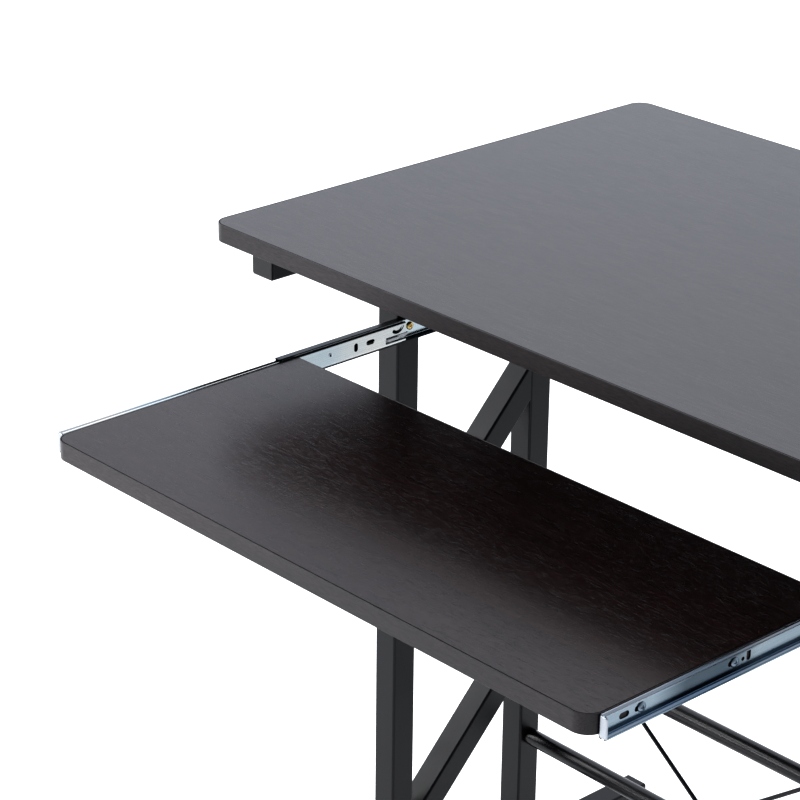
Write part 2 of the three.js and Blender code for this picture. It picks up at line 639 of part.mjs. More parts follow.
for (const [rail, [front, rear], z] of rails) {
  addPair(`${rail}_front_cap`, endCap(), 'plastic', FRAME_X, front, z);
  addPair(`${rail}_rear_cap`, endCap().rotateZ(Math.PI), 'plastic', FRAME_X, rear, z);
}
['front', 'rear'].forEach((place, i) => {
  addPair(`${place}_foot`, levellingFoot(), 'plastic', FRAME_X, FOOT_Y[i], 0);
  const screw = screwAlong('z', DESKTOP_SCREW);
  addPair(`${place}_desktop_screw`, screw, 'steel', FRAME_X, DESKTOP_SCREW_Y[i], POST_TOP);
});

// Stretchers and their bolts, which enter from the frames' outer faces
for (const [place, z] of [['upper', UPPER_STRETCHER_Z], ['lower', LOWER_STRETCHER_Z]]) {
  add(`${place}_stretcher`, stretcher(), 'steel', 0, REAR_POST_Y, z);
  const bolt = screwAlong('x', STRETCHER_BOLT);
  addPair(`${place}_stretcher_bolt`, bolt, 'steel', FRAME_INNER + TUBE, REAR_POST_Y, z);
}

// Crossed rods: one bolted in front of the tabs, the other behind them
add('brace_rod_a', braceRod(), 'steel', 0, TAB_Y - ROD_STANDOFF, 0);
add('brace_rod_b', braceRod().rotateZ(Math.PI), 'steel', 0, TAB_Y + ROD_STANDOFF, 0);
for (const [rod, high, side, axis] of [['a', 'left', -1, 'y'], ['b', 'right', 1, '-y']]) {
  const y = TAB_Y + side * (ROD_EYE_FACE + ROD_EYE_THICKNESS);
  const low = high === 'left' ? 'right' : 'left';
  const x = side * ROD_END_X;
  add(`${high}_rod_${rod}_top_bolt`, screwAlong(axis, ROD_BOLT), 'steel', x, y, ROD_TOP_Z);
  add(`${low}_rod_${rod}_foot_bolt`, screwAlong(axis, ROD_BOLT), 'steel', -x, y, FOOT_RAIL_Z);
}

// Slides, with the runner and the cage where they stand when the tray is pulled out
addPair('fixed_channel', fixedChannel(), 'zinc', FRAME_INNER, SLIDE_FRONT, SLIDE_Z);
addPair('drawer_runner', drawerRunner(), 'zinc', FRAME_INNER, RUNNER_FRONT, SLIDE_Z);
addPair('ball_cage', ballCage(), 'cage', FRAME_INNER, CAGE_FRONT, SLIDE_Z);
const leverY = RUNNER_FRONT + LEVER_PIVOT;
addPair('release_lever', releaseLever(), 'lever', FRAME_INNER, leverY, SLIDE_Z + LEVER_Z);
const webX = FRAME_INNER - SLIDE_SPACE + SHEET;
['front', 'rear'].forEach((place, i) => {
  const slideScrew = screwAlong('-x', SLIDE_SCREW);
  const postY = [FRONT_POST_Y, REAR_POST_Y][i];
  addPair(`${place}_slide_screw`, slideScrew, 'brass', FRAME_INNER - SHEET, postY, SLIDE_Z);
  const screwY = RUNNER_FRONT + TRAY_SCREW_STEP[i];
  addPair(`${place}_tray_screw`, screwAlong('x', TRAY_SCREW), 'zinc', webX, screwY, SLIDE_Z);
});

// The part's origin is on the floor in the middle of the space that the desk takes up with its
// tray pulled out.
desk.position.y = -(TRAY_FRONT + DESK_DEPTH) / 2;

const part = new THREE.Group();
part.add(desk);
part.updateMatrixWorld(true);

export default part;
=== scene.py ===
import math

import bmesh
import bpy
from mathutils import Matrix, Quaternion, Vector


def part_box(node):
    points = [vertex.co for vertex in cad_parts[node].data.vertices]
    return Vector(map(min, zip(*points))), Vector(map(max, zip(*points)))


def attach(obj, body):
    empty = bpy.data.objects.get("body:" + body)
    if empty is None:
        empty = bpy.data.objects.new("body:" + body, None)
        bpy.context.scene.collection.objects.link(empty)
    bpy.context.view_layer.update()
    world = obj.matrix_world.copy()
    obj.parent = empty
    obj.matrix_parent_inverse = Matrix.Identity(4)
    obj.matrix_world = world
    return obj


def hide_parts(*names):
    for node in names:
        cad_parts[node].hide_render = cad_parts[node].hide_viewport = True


# The looks of a computer desk with a pull-out keyboard tray. Every piece is built in the
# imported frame's own coordinates (metres, +Z up, +Y away from the user) and takes its place
# from the frame's nodes.

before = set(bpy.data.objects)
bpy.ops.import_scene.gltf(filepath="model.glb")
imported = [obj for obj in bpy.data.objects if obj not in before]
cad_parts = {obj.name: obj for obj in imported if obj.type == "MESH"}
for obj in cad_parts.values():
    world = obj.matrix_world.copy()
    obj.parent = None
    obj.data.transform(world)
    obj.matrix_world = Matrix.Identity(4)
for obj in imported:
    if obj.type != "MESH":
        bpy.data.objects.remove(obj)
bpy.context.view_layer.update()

MM = 0.001
SIDES = {"left": -1, "right": 1}

# Boards
BAND = 0.9 * MM  # thickness of the edge band
ARRIS = 0.3 * MM  # radius of the band's eased edges
SEAM = 0.5 * MM  # open joint between the band and the laminate
BOARD_CORNER = 14 * MM
TRAY_BACK_CORNER = 2 * MM
LEAST_CORNER = 0.3 * MM  # smallest corner radius an inset outline keeps

# Square frame tube
TUBE = 25 * MM
TUBE_WALL = 1.2 * MM
TUBE_RADIUS = 2.2 * MM  # of the tube's outer corners
CAP_PLATE = 2.5 * MM
CAP_PLUG_INSET = 1.9 * MM  # plug's end, from the tube's outer face
WELD_RADIUS = 1.3 * MM
WELD_RIPPLES = 14
MIDDLE_BRACE_INSET = 0.62 * TUBE  # a middle brace's ends, from the ends of its centre line
FOOT_FLUTES = 20
FOOT_FLUTE_DEPTH = 0.7 * MM
FOOT_STEM_RADIUS = 4 * MM

# Crossed rods
ROD_RADIUS = 1.9 * MM
ROD_EYE = 7 * MM
ROD_EYE_HALF = 1 * MM  # half the eye's thickness
ROD_FLARE = 16 * MM  # length over which the round rod flattens into its eye
TAB_HALF = 1 * MM  # half a tab's thickness
TAB_ROOT = 0.4 * MM  # how far a tab's root reaches into its tube

# Screws and bolts: the head's height and the shank's radius
DESKTOP_SCREW = (2.4 * MM, 2.2 * MM)
SLIDE_SCREW = (1.9 * MM, 2 * MM)
TRAY_SCREW = (1.7 * MM, 1.7 * MM)
STRETCHER_BOLT = (3 * MM, 3 * MM)
ROD_BOLT = (2.4 * MM, 2 * MM)
DOME_SHARE = 0.72  # of a head's height
RECESS_SHARE = 0.62  # of a head's height
HEX_SHARE = 0.48  # of a head's radius
CROSS_SHARES = (0.58, 0.12)  # half the cross's length and width, of a head's radius

# Slides
SHEET = 1 * MM
SHEET_EASE = 0.12 * MM  # bevel of the sheet's cut edges
CHANNEL_FLANGE = 6.8 * MM
RUNNER_DEPTH = 5.9 * MM
RUNNER_HEIGHT = 17.5 * MM
RACE_FROM_WEB = 3.6 * MM  # ball track's middle, from the outside of the runner's web
RACE_HALF = 1.9 * MM
RACE_DEPTH = 1.6 * MM
BALL_RADIUS = 0.85 * MM
BALL_HEIGHT = 8.6 * MM
BALL_PITCH = 7.5 * MM
BALL_TRACK = 4.9 * MM  # from the post's face
CAGE_SHEET = 0.4 * MM
CHANNEL_BEND = 1.3 * MM  # radius of the sheet's middle line where it turns
RUNNER_BEND = 1.2 * MM
LEVER_THICKNESS = 1.9 * MM
LEVER_PIVOT_BACK = 2.3 * MM  # lever's round end to its pivot

# In millimetres, for outlines that are scaled when they are used
CAP_PROFILE = [(1.6, 0), (0.7, 0.2), (0.2, 0.7), (0, 1.4)]  # inset and depth from the cap's face
FOOT_PROFILE = [  # inset from the foot's radius, height, and how deep its flutes are there
    (2.2, 0, 0), (1.2, 0.2, 0), (0.4, 0.9, 0.3), (0, 1.8, 1), (0, 5.0, 1), (0.4, 6.0, 0.5), (1.6, 6.8, 0),
]
CHANNEL_SLOTS = [  # step along the slide, height off its middle, length and height
    (26, 0, 9, 4.6), (48, 0, 4.6, 4.6), (92, 0, 4.6, 8),
    (224, 0, 9, 4.6), (250, 0, 4.6, 4.6), (334, 0, 9, 4.6),
]
RIVET_HOLE = (267, 0.6)
RUNNER_SLOTS = [
    (22, 0, 9, 4.4), (36, 0, 9, 4), (123.5, 0, 9, 4), (133.5, -0.6, 3, 3), (139, 0.6, 4, 8),
    (*RIVET_HOLE, 3.2, 3.2), (294.7, 0, 4, 7.4), (310.6, 0.6, 9, 4.2),
]
RIVET_EYE = 1.1  # radius of the rivet's centre, painted black as shade
RIVET_PROFILE = [  # radius and height
    (0, -0.2), (1.2, -0.2), (2.1, 0), (2.1, 0.15), (1.8, 0.35), (1.3, 0.35), (1.0, -0.1), (0, -0.1),
]
FRONT_TAB_PROFILE = [(0.9, 0), (0.35, 0.12), (0, 0.5), (0, 1.1)]  # inset and depth from its front
CURVED_SLOT = (340.3, 8.5)  # centre of its arc
CURVED_SLOT_RADII = (5.1, 8.1)
CURVED_SLOT_ANGLES = (-2.2, -0.5)  # radians
LEVER_WINDOW = 327.5  # window's front edge along the runner
LEVER_WINDOW_HEIGHTS = (-6.4, -0.6)
LEVER_HOOK = [(24, -1.8), (42, -2.3), (48.6, 0.3), (48, 1.6), (24, 1.4)]  # step from the pivot, rise
LEVER_PAD = (24, 36)  # its two ends along the arm
LEVER_PAD_HALF = 1.3  # half its height
PIN_PROFILE = [(0, -1.2), (1, -1.2), (1, 0.9), (0.8, 1.1), (0, 1.1)]  # radius and height

# Studio
FLOOR_GLOW = 0.58
FLOOR_DIM_SIDE = (0.74, 0.67, 0)  # the floor is darker on this side of the desk
FLOOR_DIM = (0.58, 0.60, 0.60, 1)
FLOOR_FADE = (0.8, 1.15)  # metres from the middle of the desk
BRIGHT_SIDE = (-0.5, 0.8, 0.25)
DIM_RADIANCE = 0.28
BRIGHT_RADIANCE = 1.31
DIM_ABOVE = (0.40, 0.50)  # the surround darkens between these heights of a unit direction
DIM_ABOVE_SHARE = 0.78

CAMERA_AZIMUTH = 47.483
CAMERA_ELEVATION = 23.328
CAMERA_ROLL = 0.647
CAMERA_PLACE = (1.28946, -1.43847, 1.46698)
CAMERA_LENS = 124.11


# -------------------------------- meshes
def arc(centre_x, centre_y, radius, start, stop, steps):
    """Points along an arc, its two ends included."""
    angles = [start + (stop - start) * i / steps for i in range(steps + 1)]
    return [(centre_x + radius * math.cos(a), centre_y + radius * math.sin(a)) for a in angles]


def rounded_rectangle(x0, x1, y0, y1, radii, steps=6):
    """Points round a rectangle, starting at its +x +y corner and going anticlockwise."""
    back_right, back_left, front_left, front_right = radii
    quarter = math.pi / 2
    return (
        arc(x1 - back_right, y1 - back_right, back_right, 0, quarter, steps)
        + arc(x0 + back_left, y1 - back_left, back_left, quarter, 2 * quarter, steps)
        + arc(x0 + front_left, y0 + front_left, front_left, 2 * quarter, 3 * quarter, steps)
        + arc(x1 - front_right, y0 + front_right, front_right, 3 * quarter, 4 * quarter, steps)
    )


def loft(rings, wrap=False):
    """Joins rings of equal length. wrap joins the last ring to the first; else flat faces end it."""
    bm = bmesh.new()
    rows = [[bm.verts.new(point) for point in ring] for ring in rings]
    pairs = list(zip(rows, rows[1:]))
    if wrap:
        pairs.append((rows[-1], rows[0]))
    for low, high in pairs:
        for i in range(len(low)):
            j = (i + 1) % len(low)
            bm.faces.new((low[i], low[j], high[j], high[i]))
    if not wrap:
        bm.faces.new(rows[0])
        bm.faces.new(rows[-1])
    return bm


def lathe(profile, segments=48):
    """Turns (radius, height) points about Z, from axis to axis or closed on itself."""
    bm = bmesh.new()
    angles = [2 * math.pi * i / segments for i in range(segments)]
    rows = []
    for radius, height in profile:
        if radius == 0:
            rows.append([bm.verts.new((0, 0, height))])
        else:
            rows.append([bm.verts.new((radius * math.cos(a), radius * math.sin(a), height))
                         for a in angles])
    pairs = list(zip(rows, rows[1:]))
    if profile[0][0] > 0:
        pairs.append((rows[-1], rows[0]))
    for low, high in pairs:
        for i in range(segments):
            j = (i + 1) % segments
            if len(low) == 1:
                bm.faces.new((low[0], high[j], high[i]))
            elif len(high) == 1:
                bm.faces.new((low[i], low[j], high[0]))
            else:
                bm.faces.new((low[i], low[j], high[j], high[i]))
    return bm


def prism(outline, low, high):
    """An outline in X and Y, drawn up from one height to another."""
    return loft([[(x, y, z) for x, y in outline] for z in (low, high)])


def in_mm(points):
    """The same points in metres, from millimetres."""
    return [(x * MM, y * MM) for x, y in points]


def faced(bm, at, facing):
    """Turns a shape made along +Z to face another way, and moves it there."""
    turn = Vector((0, 0, 1)).rotation_difference(Vector(facing)).to_matrix().to_4x4()
    bmesh.ops.transform(bm, matrix=Matrix.Translation(at) @ turn, verts=bm.verts)
    return bm


def linked(name, data):
    """A new object in the scene."""
    obj = bpy.data.objects.new(name, data)
    bpy.context.scene.collection.objects.link(obj)
    return obj


def joined(*parts):
    """One bmesh with all the parts' faces."""
    whole = bmesh.new()
    for part in parts:
        mesh = bpy.data.meshes.new("part")
        part.to_mesh(mesh)
        part.free()
        whole.from_mesh(mesh)
        bpy.data.meshes.remove(mesh)
    return whole


def subtract(body, *cutters):
    """The body with each cutter's space taken away."""
    objects = []
    for bm in (body, *cutters):
        bmesh.ops.recalc_face_normals(bm, faces=bm.faces)
        mesh = bpy.data.meshes.new("cut")
        bm.to_mesh(mesh)
        bm.free()
        objects.append(linked("cut", mesh))
    base = objects[0]
    for tool in objects[1:]:
        cut = base.modifiers.new("cut", "BOOLEAN")
        cut.operation = "DIFFERENCE"
        cut.solver = "EXACT"
        cut.object = tool
    evaluated = base.evaluated_get(bpy.context.evaluated_depsgraph_get())
    result = bmesh.new()
    result.from_mesh(evaluated.to_mesh())
    for obj in objects:
        mesh = obj.data
        bpy.data.objects.remove(obj)
        bpy.data.meshes.remove(mesh)
    return result


def piece(name, bm, material, body, replaces=(), sharp=35, bevel=0):
    """Makes the bmesh a finished piece that rides on its body."""
    bmesh.ops.recalc_face_normals(bm, faces=bm.faces)
    mesh = bpy.data.meshes.new(name)
    bm.to_mesh(mesh)
    bm.free()
    mesh.materials.append(material)
    mesh.shade_smooth()
    mesh.set_sharp_from_angle(angle=math.radians(sharp))
    obj = linked(name, mesh)
    if bevel:
        edges = obj.modifiers.new("eased_edges", "BEVEL")
        edges.width = bevel
        edges.segments = 2
        edges.limit_method = "ANGLE"
        edges.angle_limit = math.radians(sharp)
    flat = obj.modifiers.new("flat_faces", "WEIGHTED_NORMAL")
    flat.keep_sharp = True
    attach(obj, body)
    if replaces:
        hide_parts(*replaces)
    return obj


def second_finish(obj, material, chosen):
    """Gives some of a piece's faces another finish."""
    obj.data.materials.append(material)
    for face in obj.data.polygons:
        if chosen(face):
            face.material_index = len(obj.data.materials) - 1


def centre(node):
    low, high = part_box(node)
    return (low + high) / 2


def inner_face(side):
    """X of the posts' faces that the slide is fixed to."""
    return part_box(f"{side}_front_post")[0 if SIDES[side] > 0 else 1].x


# -------------------------------- finishes
def ranged(tree, source, start, stop, low, high):
    """A number that goes from low to high as the source goes from start to stop."""
    node = tree.nodes.new("ShaderNodeMapRange")
    settings = {"From Min": start, "From Max": stop, "To Min": low, "To Max": high}
    for socket, value in settings.items():
        node.inputs[socket].default_value = value
    tree.links.new(source, node.inputs["Value"])
    return node.outputs["Result"]


def reach_along(tree, source, direction):
    """How far a vector reaches along a direction."""
    node = tree.nodes.new("ShaderNodeVectorMath")
    node.operation = "DOT_PRODUCT"
    node.inputs[1].default_value = direction
    tree.links.new(source, node.inputs[0])
    return node.outputs["Value"]


def coordinate(tree, source, axis):
    """One coordinate of a vector."""
    node = tree.nodes.new("ShaderNodeSeparateXYZ")
    tree.links.new(source, node.inputs[0])
    return node.outputs[axis]


class Finish:
    """A procedural material: one Principled shader and the nodes that feed it."""

    def __init__(self, name, **values):
        self.material = bpy.data.materials.new(name)
        self.material.use_nodes = True
        self.tree = self.material.node_tree
        self.shader = self.tree.nodes["Principled BSDF"]
        for socket, value in values.items():
            self.shader.inputs[socket.replace("_", " ")].default_value = value
        self.place = self.tree.nodes.new("ShaderNodeTexCoord").outputs["Object"]
        self.normal = None

    def stretched(self, *scale):
        mapping = self.tree.nodes.new("ShaderNodeMapping")
        mapping.inputs["Scale"].default_value = scale
        self.tree.links.new(self.place, mapping.inputs["Vector"])
        return mapping.outputs["Vector"]

    def noise(self, scale, detail=4, roughness=0.55, distortion=0):
        """Noise whose features are 1/scale metres long along X, Y and Z."""
        node = self.tree.nodes.new("ShaderNodeTexNoise")
        node.inputs["Scale"].default_value = 1
        node.inputs["Detail"].default_value = detail
        node.inputs["Roughness"].default_value = roughness
        node.inputs["Distortion"].default_value = distortion
        self.tree.links.new(self.stretched(*scale), node.inputs["Vector"])
        return node.outputs["Fac"]

    def swell(self, period, crest):
        """A soft wave along Y from 0 to 1, with a crest at the given place."""
        node = self.tree.nodes.new("ShaderNodeTexWave")
        node.bands_direction = "Y"
        pace = 2 * math.pi / period
        node.inputs["Scale"].default_value = pace / 20  # the wave turns 20 radians a metre at scale 1
        node.inputs["Phase Offset"].default_value = math.pi - pace * crest
        node.inputs["Distortion"].default_value = 0.5
        node.inputs["Detail"].default_value = 2
        self.tree.links.new(self.place, node.inputs["Vector"])
        return node.outputs["Fac"]

    def colours(self, factor, *stops):
        """Colours along a ramp, each stop a place from 0 to 1 and a colour."""
        ramp = self.tree.nodes.new("ShaderNodeValToRGB")
        elements = ramp.color_ramp.elements
        while len(elements) < len(stops):
            elements.new(0.5)
        for element, (at, colour) in zip(elements, stops):
            element.position = at
            element.color = (*colour, 1)
        self.tree.links.new(factor, ramp.inputs["Fac"])
        return ramp.outputs["Color"]

    def mixed(self, factor, first, second, mode="MIX"):
        node = self.tree.nodes.new("ShaderNodeMix")
        node.data_type = "RGBA"
        node.blend_type = mode
        # Sockets 0, 6, 7 and 2 are the factor, the two colours and the colour that comes out
        for index, value in ((0, factor), (6, first), (7, second)):
            if isinstance(value, bpy.types.NodeSocket):
                self.tree.links.new(value, node.inputs[index])
            else:
                node.inputs[index].default_value = value
        return node.outputs[2]

    def level(self, factor, low, high, start=0.3, stop=0.7):
        """A number that goes from low to high as the factor goes from start to stop."""
        return ranged(self.tree, factor, start, stop, low, high)

    def colour_from(self, socket):
        self.tree.links.new(socket, self.shader.inputs["Base Color"])

    def roughness_from(self, socket):
        self.tree.links.new(socket, self.shader.inputs["Roughness"])

    def bump(self, height, depth, strength=1.0):
        """Relief of the given depth in metres, on top of any bump before it."""
        node = self.tree.nodes.new("ShaderNodeBump")
        node.inputs["Strength"].default_value = strength
        node.inputs["Distance"].default_value = depth
        self.tree.links.new(height, node.inputs["Height"])
        if self.normal is not None:
            self.tree.links.new(self.normal, node.inputs["Normal"])
        self.normal = node.outputs["Normal"]
        self.tree.links.new(self.normal, self.shader.inputs["Normal"])


def along(axis, length, width):
    """Noise scale for streaks of that length along one axis and that width across it."""
    return tuple(1 / length if i == axis else 1 / width for i in range(3))


def woodgrain(name, axis, dark, light, streak, roughness, specular, fibre=(0.024, 0.0013)):
    """Dark wood-look melamine with its grain along one axis. streak is how dark a fibre's shadow
    is, and fibre a fibre's length and width."""
    finish = Finish(name, Specular_IOR_Level=specular)
    bands = finish.noise(along(axis, 0.30, 0.022), detail=3, distortion=0.4)
    fibres = finish.noise(along(axis, fibre[0], fibre[1]), detail=5, roughness=0.62)
    pores = finish.noise(along(axis, 0.010, 0.00045), detail=2)
    base = finish.colours(bands, (0.32, dark), (0.68, light))
    fibre_tone = finish.colours(fibres, (0.34, (streak,) * 3), (0.52, (1, 1, 1)),
                                (0.68, (1.7, 1.5, 1.45)))
    pore_tone = finish.colours(pores, (0.30, (0.5, 0.46, 0.45)), (0.42, (1, 1, 1)))
    toned = finish.mixed(1.0, base, fibre_tone, "MULTIPLY")
    finish.colour_from(finish.mixed(1.0, toned, pore_tone, "MULTIPLY"))
    finish.roughness_from(finish.level(fibres, roughness + 0.03, roughness - 0.02))
    finish.bump(fibres, 0.000015, 0.5)
    finish.bump(finish.level(pores, 0, 1, 0.28, 0.42), 0.00005, 0.6)
    return finish.material


def powder_coat(name, colour, roughness, specular):
    """Satin powder coat: fine orange peel, and a slight change of gloss."""
    finish = Finish(name, Specular_IOR_Level=specular)
    peel = finish.noise((900, 900, 900), detail=3)
    cloud = finish.noise((14, 14, 14), detail=3)
    lighter = tuple(value * 1.35 for value in colour)
    finish.colour_from(finish.colours(cloud, (0.35, colour), (0.65, lighter)))
    finish.roughness_from(finish.level(cloud, roughness - 0.03, roughness + 0.04))
    finish.bump(peel, 0.00004, 0.35)
    return finish.material


def zinc_plate(name, colour, roughness, reflection_dim=1.0, painted_shade_to=None):
    """Bright zinc plate on rolled sheet: rolling lines, blue-grey clouds and painted reflections: bands
    along
    Y, the dark ones as dark as the fourth argument says. In front of the last argument's Y it is painted
    black as shade."""
    finish = Finish(name, Metallic=1.0)
    rolling = finish.noise(along(1, 0.09, 0.0006), detail=4)
    cloud = finish.noise((45, 18, 60), detail=3)
    tint = tuple(value * factor for value, factor in zip(colour, (0.90, 0.95, 1.0)))
    clouds = finish.colours(cloud, (0.35, tint), (0.65, colour))
    lines = finish.colours(rolling, (0.3, (0.84, 0.84, 0.84)), (0.7, (1, 1, 1)))
    dim_reflection_tone = (reflection_dim * 0.92, reflection_dim, reflection_dim * 1.06)
    # Painted reflection: dark and clear bands along Y, as if a surround with dark stretches were mirrored
    # in the zinc.
    swell = finish.swell(REFLECTION_BAND_PERIOD, REFLECTION_BAND_CREST)
    painted_reflection_bands = finish.colours(swell, (0.15, dim_reflection_tone), (0.75, (1, 1, 1)))
    lined = finish.mixed(1.0, clouds, lines, "MULTIPLY")
    plate = finish.mixed(1.0, lined, painted_reflection_bands, "MULTIPLY")
    # Painted shade: black in front of the given Y, where the channel's web lies in shade behind the
    # runner's slots.
    if painted_shade_to is not None:
        y = coordinate(finish.tree, finish.place, "Y")
        unshaded = finish.level(y, 0, 1, painted_shade_to - 2 * MM, painted_shade_to)
        plate = finish.mixed(unshaded, (*SLOT_SHADE_COLOUR, 1), plate)
    finish.colour_from(plate)
    finish.roughness_from(finish.level(cloud, roughness - 0.05, roughness + 0.06))
    finish.bump(rolling, 0.00001, 0.4)
    return finish.material


def moulded_plastic(name, colour, roughness, specular=0.5):
    """A dull surface with a fine even texture."""
    finish = Finish(name, Specular_IOR_Level=specular)
    grain = finish.noise((1400, 1400, 1400), detail=2)
    cloud = finish.noise((30, 30, 30), detail=2)
    lighter = tuple(value * 1.3 for value in colour)
    finish.colour_from(finish.colours(cloud, (0.35, colour), (0.65, lighter)))
    finish.roughness_from(finish.level(grain, roughness - 0.06, roughness + 0.06))
    finish.bump(grain, 0.00005, 0.5)
    return finish.material


def plated(name, colour, roughness):
    """A small plated or machined metal piece with faint turning marks and stains."""
    finish = Finish(name, Metallic=1.0)
    fine = finish.noise((2500, 2500, 2500), detail=2)
    stain = finish.noise((240, 240, 240), detail=3)
    darker = tuple(value * 0.72 for value in colour)
    finish.colour_from(finish.colours(stain, (0.35, darker), (0.6, colour)))
    finish.roughness_from(finish.level(fine, roughness - 0.05, roughness + 0.08))
    finish.bump(fine, 0.00001, 0.4)
    return finish.material


REFLECTION_BAND_PERIOD = 0.150  # from one band of painted bright reflection to the next, along Y
REFLECTION_BAND_CREST = -0.322  # where one of them is
# Painted shade: the black on the channel's web behind the runner.
SLOT_SHADE_COLOUR = (0.012, 0.013, 0.014)
RUNNER_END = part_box("left_drawer_runner")[1].y  # the painted shade shows up to here and a little past it
ESPRESSO_DARK = (0.0100, 0.0050, 0.0046)
ESPRESSO_LIGHT = (0.0160, 0.0088, 0.0082)
# The tray's laminate is the desktop's, made lighter and redder and less glossy: painted light in the
# desktop's shade.
TRAY_DARK = (0.0145, 0.0062, 0.0056)
TRAY_LIGHT = (0.0230, 0.0108, 0.0098)
EDGE_DARK = (0.0130, 0.0092, 0.0098)
EDGE_LIGHT = (0.0290, 0.0215, 0.0230)
EDGE_FIBRE = (0.006, 0.0007)

LAMINATE = woodgrain("espresso_laminate", 0, ESPRESSO_DARK, ESPRESSO_LIGHT, 0.55, 0.30, 0.48)
# Painted light: the desktop's laminate, lightened for the tray under it.
TRAY_PAINTED_LIGHT_LAMINATE = woodgrain("tray_painted_light_laminate", 0, TRAY_DARK, TRAY_LIGHT, 0.55, 0.25, 0.32)
BAND_X = woodgrain("espresso_edge_along_x", 0, EDGE_DARK, EDGE_LIGHT, 0.35, 0.36, 0.46, EDGE_FIBRE)
BAND_Y = woodgrain("espresso_edge_along_y", 1, EDGE_DARK, EDGE_LIGHT, 0.35, 0.36, 0.46, EDGE_FIBRE)
BACKING = moulded_plastic("board_backing_paper", (0.0040, 0.0030, 0.0028), 0.80, 0.12)
PAINT = powder_coat("black_powder_coat", (0.0046, 0.0046, 0.0056), 0.40, 0.34)
STRETCHER_PAINT = powder_coat("black_tube_coat", (0.0052, 0.0050, 0.0066), 0.28, 0.46)
BLACK_OXIDE = powder_coat("black_bolt", (0.006, 0.006, 0.007), 0.32, 0.5)
# These zinc finishes carry bands of painted reflection along Y; the fourth argument sets how dark they
# get.
ZINC = zinc_plate("bright_zinc", (0.64, 0.63, 0.60), 0.22, 0.9)
# Painted reflection: the right runner's web, darker zinc with deep dark bands, for the dark surround
# mirrored on that side.
REFLECTION_BANDED_ZINC = zinc_plate("right_runner_zinc_painted_reflections", (0.39, 0.45, 0.49), 0.22, 0.34)
# Painted shade: darker zinc for the right runner's upward faces.
RUNNER_TOP_SHADE_ZINC = zinc_plate("runner_top_zinc_painted_shade", (0.34, 0.36, 0.38), 0.26, 0.7)
# Painted shade: the channel's web is black where the runner covers it, so the runner's slots look dark
# inside.
CHANNEL_ZINC = zinc_plate("channel_web_zinc", (0.66, 0.68, 0.66), 0.20, painted_shade_to=RUNNER_END + 3 * MM)
# Painted shade: the front tab is the runner's zinc made darker.
FRONT_TAB_SHADE_ZINC = zinc_plate("front_tab_painted_shade_zinc", (0.437, 0.446, 0.46), 0.30)
# Painted shade: darker zinc on the runner's faces inside its channel.
RUNNER_INNER_SHADE_ZINC = zinc_plate("runner_inner_zinc_painted_shade", (0.24, 0.31, 0.38), 0.26)
# Painted shade: near-black zinc on the channel's flanges, the runner's front ends and the rivet's centre.
NEAR_BLACK_SHADE_ZINC = zinc_plate("near_black_zinc_painted_shade", (0.030, 0.033, 0.036), 0.30)
CAGE_STEEL = plated("cage_steel", (0.52, 0.54, 0.56), 0.30)
BALL_STEEL = plated("ball_steel", (0.70, 0.71, 0.72), 0.12)
BRASS = plated("brass_passivate", (0.62, 0.47, 0.20), 0.24)
SCREW_ZINC = plated("screw_zinc", (0.52, 0.58, 0.64), 0.24)
# Painted shade: the tray screws' zinc is darker than the other zinc screws, for their place inside the
# slides.
TRAY_SCREW_SHADE_ZINC = plated("tray_screw_painted_shade_zinc", (0.24, 0.29, 0.34), 0.26)
LEVER = powder_coat("grey_lever", (0.34, 0.35, 0.36), 0.32, 0.5)
PLASTIC = moulded_plastic("black_plastic", (0.010, 0.010, 0.010), 0.48)


# -------------------------------- boards
def board(node, body, radii, laminate_finish):
    """A laminated board and, round it, its edge band. A fine open joint shows between them."""
    low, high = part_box(node)

    def ring(inset, z):
        corners = [max(radius - inset, LEAST_CORNER) for radius in radii]
        outline = rounded_rectangle(low.x + inset, high.x - inset, low.y + inset, high.y - inset,
                                    corners, steps=14)
        return [(x, y, z) for x, y in outline]

    beside_band = BAND + 0.02 * MM
    core = [
        ring(BAND + SEAM, low.z),
        ring(beside_band, low.z + SEAM),
        ring(beside_band, high.z - SEAM),
        ring(BAND + SEAM, high.z),
    ]
    laminate = piece(f"{node}_board", loft(core), laminate_finish, body, [node], sharp=30)
    second_finish(laminate, BACKING, lambda face: face.normal.z < 0.9)
    section = [(BAND, low.z + SEAM / 2), (BAND, high.z - SEAM / 2), (BAND - SEAM / 2, high.z)]
    section += [(inset, z) for inset, z in arc(ARRIS, high.z - ARRIS, ARRIS, math.pi / 2, math.pi, 4)]
    section += [(inset, z) for inset, z in arc(ARRIS, low.z + ARRIS, ARRIS, math.pi, 1.5 * math.pi, 4)]
    section += [(BAND - SEAM / 2, low.z)]
    band = piece(f"{node}_edge_band", loft([ring(*point) for point in section], wrap=True),
                 BAND_X, body, sharp=30)
    second_finish(band, BAND_Y, lambda face: abs(face.normal.x) > 0.75)


board("desktop", "desk", [BOARD_CORNER] * 4, LAMINATE)
board("keyboard_tray", "tray", [TRAY_BACK_CORNER] * 2 + [BOARD_CORNER] * 2, TRAY_PAINTED_LIGHT_LAMINATE)


# -------------------------------- side frames
def square_tube(start, end, cut=None):
    """A hollow square tube from start to end, its end faces square or parallel to a cut plane."""
    start, end = Vector(start), Vector(end)
    direction = (end - start).normalized()
    normal = Vector(cut) if cut else direction
    across = Vector((1, 0, 0))
    upward = direction.cross(across).normalized()
    rings = []
    for point, inset in ((start, 0), (end, 0), (end, TUBE_WALL), (start, TUBE_WALL)):
        half = TUBE / 2 - inset
        ring = []
        for a, b in rounded_rectangle(-half, half, -half, half, [TUBE_RADIUS - inset] * 4, steps=8):
            offset = across * a + upward * b
            ring.append(point + offset - direction * (offset.dot(normal) / direction.dot(normal)))
        rings.append(ring)
    return loft(rings, wrap=True)


